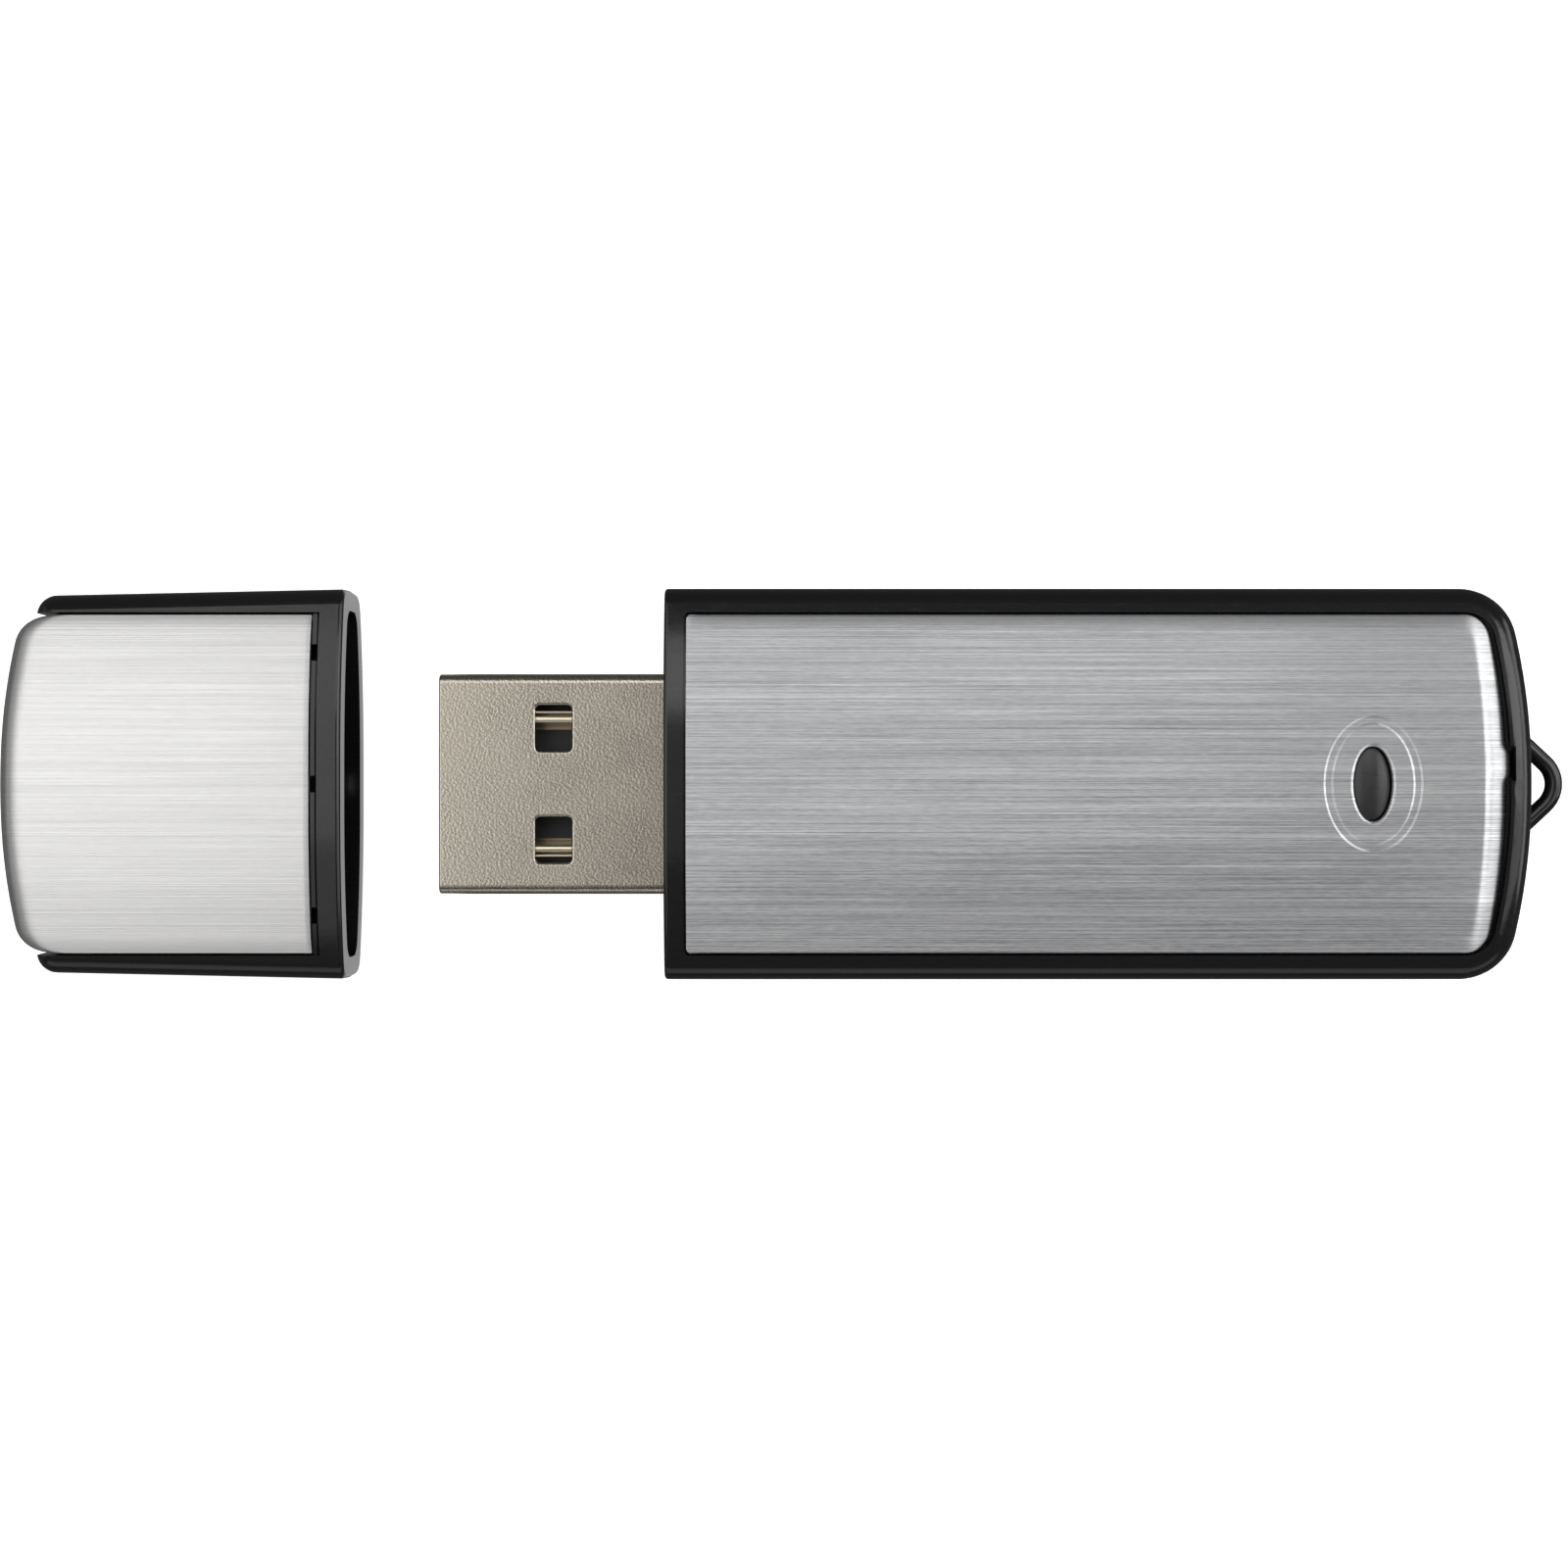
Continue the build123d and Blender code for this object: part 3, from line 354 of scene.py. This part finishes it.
# One gold flash in two painted copies: a dark one that paints the shade inside the plug shell onto the
# contacts, and a pale one that paints the bright highlight along the beads
GOLD_PAINTED_SHADE = gold_contact("contact_gold", (0.10, 0.075, 0.05), (0.34, 0.27, 0.18))
GOLD_PAINTED_HIGHLIGHT = gold_contact("contact_gold_ridge", (0.62, 0.54, 0.40), (0.95, 0.88, 0.72))
TAPE = matt_solid("adhesive_tape", (0.78, 0.77, 0.73), (0.88, 0.87, 0.83), 0.6)
LAMINATE = matt_solid("board_laminate", (0.015, 0.13, 0.05), (0.03, 0.2, 0.08), 0.35)
EPOXY = matt_solid("chip_epoxy", (0.02, 0.02, 0.02), (0.04, 0.04, 0.04), 0.55, 25.0)
TIN = matt_solid("solder_tin", (0.6, 0.6, 0.6), (0.8, 0.8, 0.8), 0.3, 20.0, 1.0)
LED_RESIN = matt_solid("led_resin", (0.82, 0.8, 0.7), (0.92, 0.9, 0.82), 0.3)
CERAMIC = matt_solid("capacitor_ceramic", (0.38, 0.27, 0.16), (0.5, 0.37, 0.23), 0.5)
NODE_MATERIALS = {
    "upper_shell": BLACK,
    "lower_shell": BLACK,
    "cap_core": BLACK,
    "plug_shell": NICKEL,
    "plug_tongue": INSULATOR,
    "front_plate": PLATE_METAL,
    "back_plate": PLATE_METAL,
    "cap_wrap": WRAP_METAL_PAINTED_LIGHT,
    "led_lens": LENS,
    "front_plate_tape": TAPE,
    "back_plate_tape": TAPE,
    "cap_tape": TAPE,
    "contact_vbus": GOLD_PAINTED_SHADE,
    "contact_data_minus": GOLD_PAINTED_SHADE,
    "contact_data_plus": GOLD_PAINTED_SHADE,
    "contact_ground": GOLD_PAINTED_SHADE,
    "circuit_board": LAMINATE,
    "memory_chip": EPOXY,
    "controller_chip": EPOXY,
    "resistors": EPOXY,
    "memory_chip_leads": TIN,
    "controller_chip_leads": TIN,
    "contact_solder": TIN,
    "tab_solder": TIN,
    "crystal": NICKEL,
    "status_led": LED_RESIN,
    "capacitors": CERAMIC,
}


def finish_cad_nodes():
    """Gives each CAD node its material."""
    for name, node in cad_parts.items():
        node.data.materials.clear()
        node.data.materials.append(NODE_MATERIALS[name])
        for polygon in node.data.polygons:
            polygon.use_smooth = True
            polygon.material_index = 0


finish_cad_nodes()


# ---- plate meshes ----
CORNER_STEPS = 8
LONG_STEPS = 96
CROSS_STEPS = 76
HOLE_I = 8                         # grid steps from the middle of the window to the ellipses
HOLE_J = 21


def tab_bulge(y):
    """How far the tail edge stands out at the tab that holds the plate down."""
    inside = PLATE_TAB_HALF + PLATE_TAB_EASE / 2 - abs(y - PLATE_TAB_Y)
    return PLATE_TAB_REACH * smooth_step(inside / PLATE_TAB_EASE)


def plate_ring(front_in, side_in, tail_in, bulge):
    """Outline of the plate with its edges moved inwards, as four runs of points that
    meet at the middles of the corners: -Y side, tail, +Y side, front."""
    front_x = PLATE_FRONT_X + front_in
    half = PLATE_HALF - side_in
    end_r = END_R - tail_in
    centre_x = PLATE_TAIL_X - END_R
    tail_r = max(PLATE_CORNER_R - min(side_in, tail_in), 0.3)
    front_r = max(PLATE_FRONT_R - min(side_in, front_in), 0.12)
    corner_x = centre_x + math.sqrt((end_r - tail_r) ** 2 - (half - tail_r) ** 2)
    swing = math.atan2(half - tail_r, corner_x - centre_x)
    middle = (swing + math.pi / 2) / 2

    def tail_corner(angle, side):
        y = half - tail_r + tail_r * math.sin(angle)
        return (corner_x + tail_r * math.cos(angle), side * y)

    def front_corner(angle, side):
        y = half - front_r + front_r * math.sin(angle)
        return (front_x + front_r * (1 - math.cos(angle)), side * y)

    quarter = math.pi / 4
    side_run = [front_corner(a, 1) for a in spread(quarter, math.pi / 2, CORNER_STEPS)]
    side_run += [(x, half) for x in spread(front_x + front_r, corner_x, LONG_STEPS)[1:]]
    side_run += [tail_corner(a, 1) for a in spread(math.pi / 2, middle, CORNER_STEPS)[1:]]
    tail_run = [tail_corner(a, -1) for a in spread(middle, swing, CORNER_STEPS)]
    for a in spread(-swing, swing, CROSS_STEPS)[1:]:
        tail_run.append((centre_x + end_r * math.cos(a), end_r * math.sin(a)))
    tail_run += [tail_corner(a, 1) for a in spread(swing, middle, CORNER_STEPS)[1:]]
    tail_run = [(x + bulge * tab_bulge(y), y) for x, y in tail_run]
    front_run = [front_corner(a, 1) for a in spread(quarter, 0, CORNER_STEPS)]
    front_run += [(front_x, y) for y in spread(half - front_r, front_r - half, CROSS_STEPS)[1:]]
    front_run += [front_corner(a, -1) for a in spread(0, quarter, CORNER_STEPS)[1:]]
    low_run = [(x, -y) for x, y in side_run]
    return low_run, tail_run, side_run[::-1], front_run


def closed_ring(runs):
    return [p for run in runs for p in run[:-1]]


def coons_grid(runs):
    """Points inside four runs: rows follow the -Y side, columns the front edge."""
    low, tail, high, front = runs
    high = high[::-1]
    front = front[::-1]
    columns = len(low) - 1
    rows = len(front) - 1
    grid = []
    for i in range(columns + 1):
        u = i / columns
        line = []
        for j in range(rows + 1):
            v = j / rows
            point = []
            for k in range(2):
                ruled = (1 - v) * low[i][k] + v * high[i][k] + (1 - u) * front[j][k] + u * tail[j][k]
                corners = (1 - u) * (1 - v) * low[0][k] + u * (1 - v) * low[-1][k]
                corners += (1 - u) * v * high[0][k] + u * v * high[-1][k]
                point.append(ruled - corners)
            line.append(tuple(point))
        grid.append(line)
    return grid


class Builder:
    """Collects points and faces; rings and grids are lists of point numbers."""

    def __init__(self):
        self.points = []
        self.faces = []

    def add(self, point):
        self.points.append(point)
        return len(self.points) - 1

    def bridge(self, first, second):
        count = len(first)
        for i in range(count):
            k = (i + 1) % count
            self.faces.append((first[i], first[k], second[k], second[i]))


def fill_plate(builder, runs, height, window_rings):
    """Fills the innermost ring with a grid; round the window the grid gives way to ellipses.
    Returns the numbers of the grid's border and of the last window ring."""
    grid = coons_grid(runs)
    numbers = [[builder.add((x, y, height(y))) for x, y in line] for line in grid]
    columns = len(grid) - 1
    rows = len(grid[0]) - 1
    hole = None
    if window_rings:
        middle_j = rows // 2
        middle_i = min(range(columns + 1), key=lambda i: abs(grid[i][middle_j][0] - WINDOW_X))
        hole = (middle_i - HOLE_I, middle_i + HOLE_I, middle_j - HOLE_J, middle_j + HOLE_J)
    for i in range(columns):
        for j in range(rows):
            if hole and hole[0] <= i < hole[1] and hole[2] <= j < hole[3]:
                continue
            near, far = numbers[i], numbers[i + 1]
            builder.faces.append((near[j], far[j], far[j + 1], near[j + 1]))
    last = None
    if hole:
        i0, i1, j0, j1 = hole
        around = [(i, j0) for i in range(i0, i1)] + [(i1, j) for j in range(j0, j1)]
        around += [(i, j1) for i in range(i1, i0, -1)] + [(i0, j) for j in range(j1, j0, -1)]
        angles = []
        for i, j in around:
            x, y = grid[i][j]
            angles.append(math.atan2(y / RING_OUTER[1], (x - WINDOW_X) / RING_OUTER[0]))
        last = [numbers[i][j] for i, j in around]
        for radius_x, radius_y, drop in window_rings:
            ring = []
            for angle in angles:
                y = radius_y * math.sin(angle)
                ring.append(builder.add((WINDOW_X + radius_x * math.cos(angle), y, height(y) - drop)))
            builder.bridge(last, ring)
            last = ring
    border = [numbers[i][0] for i in range(columns)] + [numbers[columns][j] for j in range(rows)]
    border += [numbers[i][rows] for i in range(columns, 0, -1)]
    border += [numbers[0][j] for j in range(rows, 0, -1)]
    return border, last


def margin_drop(x, y, inward):
    """Drop of a margin below the crown: inward is 0 at the edge of the plate and 1 at the crown.
    At the tail the sheet folds down along a nearly straight line across the plate."""
    out = 1 - inward
    sag = END_R - math.sqrt(END_R**2 - y**2)
    past = x - (PLATE_TAIL_X - ROLL_TAIL - FOLD_BOW * sag)
    fold = 0.0
    if past > -FOLD_RANGE:
        fold = TAIL_SLOPE / 2 * (past + math.sqrt(past * past + FOLD_R**2))
    near_front = smooth_step((PLATE_FRONT_X + FRONT_FADE - x) / FRONT_FADE)
    curl = MARGIN_CURL * (1 - near_front) * out * out
    lip = max(out - 1 + LIP_WIDTH, 0.0) / LIP_WIDTH
    return min(fold, fold * out * 3) + curl + LIP_DROP * (1 - math.sqrt(1 - lip * lip))


def window_profile():
    """Rings from the engraved groove in to the edge of the window: x radius, y radius, depth."""
    rings = []
    for (radius_x, radius_y), step, depth in (
        (RING_OUTER, RING_LAND, 0),
        (RING_OUTER, 0, 0),
        (RING_OUTER, -RING_WALL, RING_DEPTH),
        (RING_INNER, RING_WALL, RING_DEPTH),
        (RING_INNER, 0, 0),
        (WINDOW_RADII, RING_LAND, 0),
        (WINDOW_RADII, WINDOW_BEVEL, 0),
    ):
        rings.append((radius_x + step, radius_y + step, depth))
    for angle in spread(0, math.pi / 2, 5)[1:]:
        out = WINDOW_BEVEL * (1 - math.sin(angle))
        depth = WINDOW_BEVEL * (1 - math.cos(angle))
        rings.append((WINDOW_RADII[0] + out, WINDOW_RADII[1] + out, depth))
    return rings


def make_plate(window):
    """Front plate, crown up, as a closed shell: rolled rim, sheet thickness and hollow inside."""
    builder = Builder()
    rings = []
    lip = [LIP_WIDTH * (1 - math.cos(a)) for a in spread(0, math.pi / 2, 6)]
    for step, inward in enumerate([0.0] + lip + spread(LIP_WIDTH, 1.0, 10)[1:]):
        runs = plate_ring(inward * ROLL_FRONT, inward * ROLL_SIDE, inward * ROLL_TAIL, 1 - inward)
        ring = []
        for x, y in closed_ring(runs):
            down = PLATE_RIM_DEPTH if step == 0 else margin_drop(x, y, inward)
            ring.append(builder.add((x, y, crown_z(y) - down)))
        rings.append(ring)
    for outer, inner in zip(rings, rings[1:]):
        builder.bridge(outer, inner)
    border, window_edge = fill_plate(builder, runs, crown_z, window_profile() if window else None)
    builder.bridge(rings[-1], border)
    under_rim = plate_ring(PLATE_SHEET, PLATE_SHEET, PLATE_SHEET, 0)
    low = [builder.add((x, y, crown_z(y) - PLATE_RIM_DEPTH)) for x, y in closed_ring(under_rim)]
    builder.bridge(rings[0], low)
    inner_runs = plate_ring(PLATE_RIM_WIDTH, PLATE_RIM_WIDTH, PLATE_RIM_WIDTH, 0)

    def under(y):
        return crown_z(y) - PLATE_SHEET

    under_rings = [(WINDOW_RADII[0], WINDOW_RADII[1], 0.0)] if window else None
    inner_border, inner_edge = fill_plate(builder, inner_runs, under, under_rings)
    builder.bridge(low, inner_border)
    if window:
        builder.bridge(window_edge, inner_edge)
    return builder


def place_plate(name, node, window, flip):
    """Plate in the place of a CAD node; flip turns it over for the back of the drive."""
    builder = make_plate(window)
    points = builder.points
    if flip:
        points = [(x, y, THICK - z) for x, y, z in points]
    plate = new_object(name, points, builder.faces, "drive", PLATE_METAL, (node,))
    weighted_normals(plate)


place_plate("front_plate_skin", "front_plate", True, False)
place_plate("back_plate_skin", "back_plate", False, True)


# ---- cap wrap ----
def wrap_stations():
    """Across the wrap: (y, x of the closed end, drop of the rolled side margin)."""
    half = wrap_high.y
    centre_x = wrap_low.x + END_R
    corner_x = centre_x - math.sqrt((END_R - WRAP_CORNER_R) ** 2 - (half - WRAP_CORNER_R) ** 2)
    swing = math.atan2(half - WRAP_CORNER_R, centre_x - corner_x)
    arc = [(END_R * math.sin(a), centre_x - END_R * math.cos(a)) for a in spread(0, swing, 22)]
    corner = []
    for a in spread(swing, math.pi / 2, 16)[1:]:
        y = half - WRAP_CORNER_R + WRAP_CORNER_R * math.sin(a)
        corner.append((y, corner_x - WRAP_CORNER_R * math.cos(a)))
    half_side = arc + corner
    stations = [(-y, x) for y, x in half_side[:0:-1]] + half_side
    made = []
    for y, x in stations:
        t = min(max((abs(y) - (half - WRAP_MARGIN)) / WRAP_MARGIN, 0.0), 1.0)
        made.append((y, x, WRAP_MARGIN_DEPTH * t * t))
    return made


def make_wrap():
    """Sheet folded from the top round the closed end to the bottom."""
    builder = Builder()
    open_x = wrap_high.x
    columns = []
    for y, end_x, drop in wrap_stations():
        top = crown_z(y) - drop
        roll = WRAP_END_ROLL
        path = [(x, top) for x in spread(open_x, end_x + roll, 48)]
        for a in spread(0, math.pi / 2, 14)[1:]:
            path.append((end_x + roll * (1 - math.sin(a)), top - roll * (1 - math.cos(a))))
        path += [(end_x, z) for z in spread(top - roll, MID_Z, 6)[1:]]
        path += [(x, THICK - z) for x, z in path[-2::-1]]
        columns.append([builder.add((x, y, z)) for x, z in path])
    for first, second in zip(columns, columns[1:]):
        for i in range(len(first) - 1):
            builder.faces.append((first[i], second[i], second[i + 1], first[i + 1]))
    wrap = new_object(
        "cap_wrap_skin", builder.points, builder.faces, "cap", WRAP_METAL_PAINTED_LIGHT, ("cap_wrap",)
    )
    solid = wrap.modifiers.new("sheet", "SOLIDIFY")
    solid.thickness = WRAP_SHEET * MM
    solid.offset = -1
    solid.use_even_offset = True
    weighted_normals(wrap, 0.05)
    return wrap


make_wrap()


# ---- lens ----
LENS_DOME = 0.16
LENS_SUNK = 0.2
LENS_EASE = 0.08                   # rounding of the face's edge
LENS_CLEARANCE = 0.05


def make_lens():
    """Smoked plastic with a domed face, on the stalk and flange that the front plate hides."""
    builder = Builder()
    steps = 64
    radius_x, radius_y = (radius - LENS_CLEARANCE for radius in WINDOW_RADII)
    flange_z = lens_low.z
    face_z = THICK - LENS_SUNK - LENS_DOME
    outline = [(0.0, flange_z), (1.0, flange_z), (1.0, face_z - LENS_EASE)]
    for a in spread(0, 1.2, 4)[1:]:
        outline.append((1 - 0.06 * (1 - math.cos(a)), face_z - LENS_EASE * (1 - math.sin(a))))
    edge = outline[-1][0]
    for part in spread(1, 0, 12)[:-1]:
        outline.append((edge * part, face_z + LENS_DOME * (1 - part * part)))
    outline.append((0.0, face_z + LENS_DOME))
    rings = []
    for part, z in outline:
        ring = []
        for k in range(steps):
            angle = 2 * math.pi * k / steps
            x = WINDOW_X + part * radius_x * math.cos(angle)
            ring.append(builder.add((x, part * radius_y * math.sin(angle), z)))
        rings.append(ring)
    for lower, upper in zip(rings, rings[1:]):
        builder.bridge(lower, upper)
    new_object(
        "led_lens_dome", builder.points, builder.faces, "drive", LENS, ("led_lens",)
    )


make_lens()


# ---- drawn ridges on the outer contacts ----
RIDGES = ((0.03, 0.17, 0.1), (0.42, 0.08, 0.12))      # off the contact's middle, half width, height
RIDGE_TAPER = 0.5
RIDGE_SUNK = 0.03
RIDGE_SETBACK = 1.2                # behind the front end of the contact
RIDGE_END = 3.0                    # in front of the rear end of the tongue


def make_ridge(name, y, half_width, height, x_from, x_to, z):
    """Round bead along X that tapers into the strip at its front end."""
    builder = Builder()
    stations = [(x_from + RIDGE_TAPER * t, math.sin(t * math.pi / 2)) for t in spread(0.04, 1, 5)]
    stations.append((x_to, 1.0))
    sections = []
    for x, part in stations:
        section = []
        for a in spread(0, math.pi, 8):
            rise = height * part * math.sin(a)
            section.append(builder.add((x, y + half_width * math.cos(a), z - RIDGE_SUNK + rise)))
        sections.append(section)
    for first, second in zip(sections, sections[1:]):
        builder.bridge(first, second)
    builder.faces.append(tuple(sections[0]))
    builder.faces.append(tuple(reversed(sections[-1])))
    # the beads take the pale gold, a painted highlight
    new_object(name, builder.points, builder.faces, "drive", GOLD_PAINTED_HIGHLIGHT)


def make_ridges():
    """Two ridges on each outer contact, mirrored about the middle of the plug."""
    for node, side in (("contact_vbus", 1), ("contact_ground", -1)):
        low, high = box_mm(node)
        middle = (low.y + high.y) / 2
        for k, (off, half_width, height) in enumerate(RIDGES):
            name = f"{node}_ridge_{k}"
            start_x = low.x + RIDGE_SETBACK
            end_x = tongue_high.x - RIDGE_END
            make_ridge(name, middle + side * off, half_width, height, start_x, end_x, tongue_high.z)


make_ridges()


# ---- camera ----
def make_camera():
    """Looks straight down from just beside the middle of the layout."""
    camera_data = bpy.data.cameras.new("camera")
    camera = bpy.data.objects.new("camera", camera_data)
    bpy.context.scene.collection.objects.link(camera)
    camera_data.sensor_width = 36.0
    camera_data.lens = 60.5
    camera_data.clip_start = 0.01
    camera_data.clip_end = 20.0
    camera.location = (-0.000355, 0, 0.150)
    bpy.context.scene.camera = camera


# ---- floor, lights and world ----
LAMP_HEIGHT = 0.5
TABLE_REACH = 4.0
STRIP_HALF = 0.016


def make_table(name, height, tone, emission, corner_low=None, corner_high=None):
    """Level rectangle; without corners it is far larger than the object."""
    material, tree, bsdf = new_material(name)
    speck = noise(tree, (0.3, 0.3, 0.3), 2.0, 0.5)
    dark = (tone, tone, tone)
    light = (tone + 0.04, tone + 0.04, tone + 0.04)
    tree.links.new(blend_colours(tree, speck, dark, light), bsdf.inputs["Base Color"])
    bsdf.inputs["Roughness"].default_value = 0.8
    bsdf.inputs["Specular IOR Level"].default_value = 0.0
    bsdf.inputs["Emission Color"].default_value = (1, 1, 1, 1)
    bsdf.inputs["Emission Strength"].default_value = emission
    mesh = bpy.data.meshes.new(name)
    x0, y0 = corner_low or (-TABLE_REACH, -TABLE_REACH)
    x1, y1 = corner_high or (TABLE_REACH, TABLE_REACH)
    corners = [(x0, y0, 0), (x1, y0, 0), (x1, y1, 0), (x0, y1, 0)]
    mesh.from_pydata(corners, [], [(0, 1, 2, 3)])
    mesh.materials.append(material)
    table = bpy.data.objects.new(name, mesh)
    bpy.context.scene.collection.objects.link(table)
    table.location.z = height
    return table


def make_floor():
    """The white table as it is seen, a dim copy that shows in reflections, and the lit
    strip in front of the cap that its rim reflects."""
    seen = make_table("floor", -0.00005, 0.86, 0.85)
    seen.visible_glossy = False
    seen.visible_diffuse = False
    reflected = make_table("floor_reflected", -0.0002, 0.3, 0.0)
    reflected.visible_camera = False
    strip_low = (rim_x * MM, -STRIP_HALF)
    strip_high = (plug_tip_x * MM, STRIP_HALF)
    strip = make_table("floor_strip", -0.0001, 0.5, 0.6, strip_low, strip_high)
    strip.visible_camera = False


def lamp(name, location, size, radiance):
    """Rectangular lamp that faces the object."""
    light_data = bpy.data.lights.new(name, "AREA")
    light_data.shape = "RECTANGLE"
    light_data.size, light_data.size_y = size
    light_data.energy = radiance * math.pi * size[0] * size[1]
    light = bpy.data.objects.new(name, light_data)
    bpy.context.scene.collection.objects.link(light)
    light.location = location
    light.visible_camera = False
    return light


def ceiling_panel(name, along_x, along_y, radiance):
    """Level panel above the object, given by the angles from straight up that it spans."""
    x_from, x_to = (LAMP_HEIGHT * math.tan(math.radians(a)) for a in along_x)
    y_from, y_to = (LAMP_HEIGHT * math.tan(math.radians(a)) for a in along_y)
    middle = ((x_from + x_to) / 2, (y_from + y_to) / 2, LAMP_HEIGHT)
    lamp(name, middle, (x_to - x_from, y_to - y_from), radiance)


def side_panel(name, away, width, z_from, z_to, radiance):
    """Upright panel beside the object, facing it."""
    place = Vector(away).to_3d() + Vector((0, 0, (z_from + z_to) / 2))
    panel = lamp(name, place, (width, z_to - z_from), radiance)
    panel.rotation_euler = (-Vector(away).to_3d()).to_track_quat("-Z", "Y").to_euler()


def make_lights():
    """Soft panels round the object, dim straight above it so that flat metal shows its grain."""
    ceiling_panel("overhead", (-9, 16), (-12, 11), 0.27)
    ceiling_panel("overhead_back", (-8, 18), (11, 29), 2.1)
    ceiling_panel("left", (-34, -9.5), (-7, 37), 1.6)
    ceiling_panel("left_far", (-48, -34), (-20, 37), 1.35)
    ceiling_panel("left_edge", (-62, -48), (-20, 37), 0.95)
    ceiling_panel("left_near", (-38, -9.5), (-30, -7), 0.8)
    ceiling_panel("right", (28, 64), (0, 40), 3.0)
    ceiling_panel("right_near", (28, 64), (-30, 0), 1.4)
    side_panel("near_low", (0, -1.0), 2.0, 0.06, 0.6, 0.6)
    side_panel("left_low", (-1.0, 0.1), 1.2, 0.0, 0.53, 0.25)
    side_panel("right_low", (1.2, 0.2), 1.2, 0.0, 0.5, 2.0)
    world = bpy.data.worlds.new("studio")
    world.use_nodes = True
    world.node_tree.nodes["Background"].inputs["Color"].default_value = (0.11, 0.11, 0.113, 1)
    bpy.context.scene.world = world
    bpy.context.scene.view_settings.view_transform = "Standard"


make_camera()
make_floor()
make_lights()
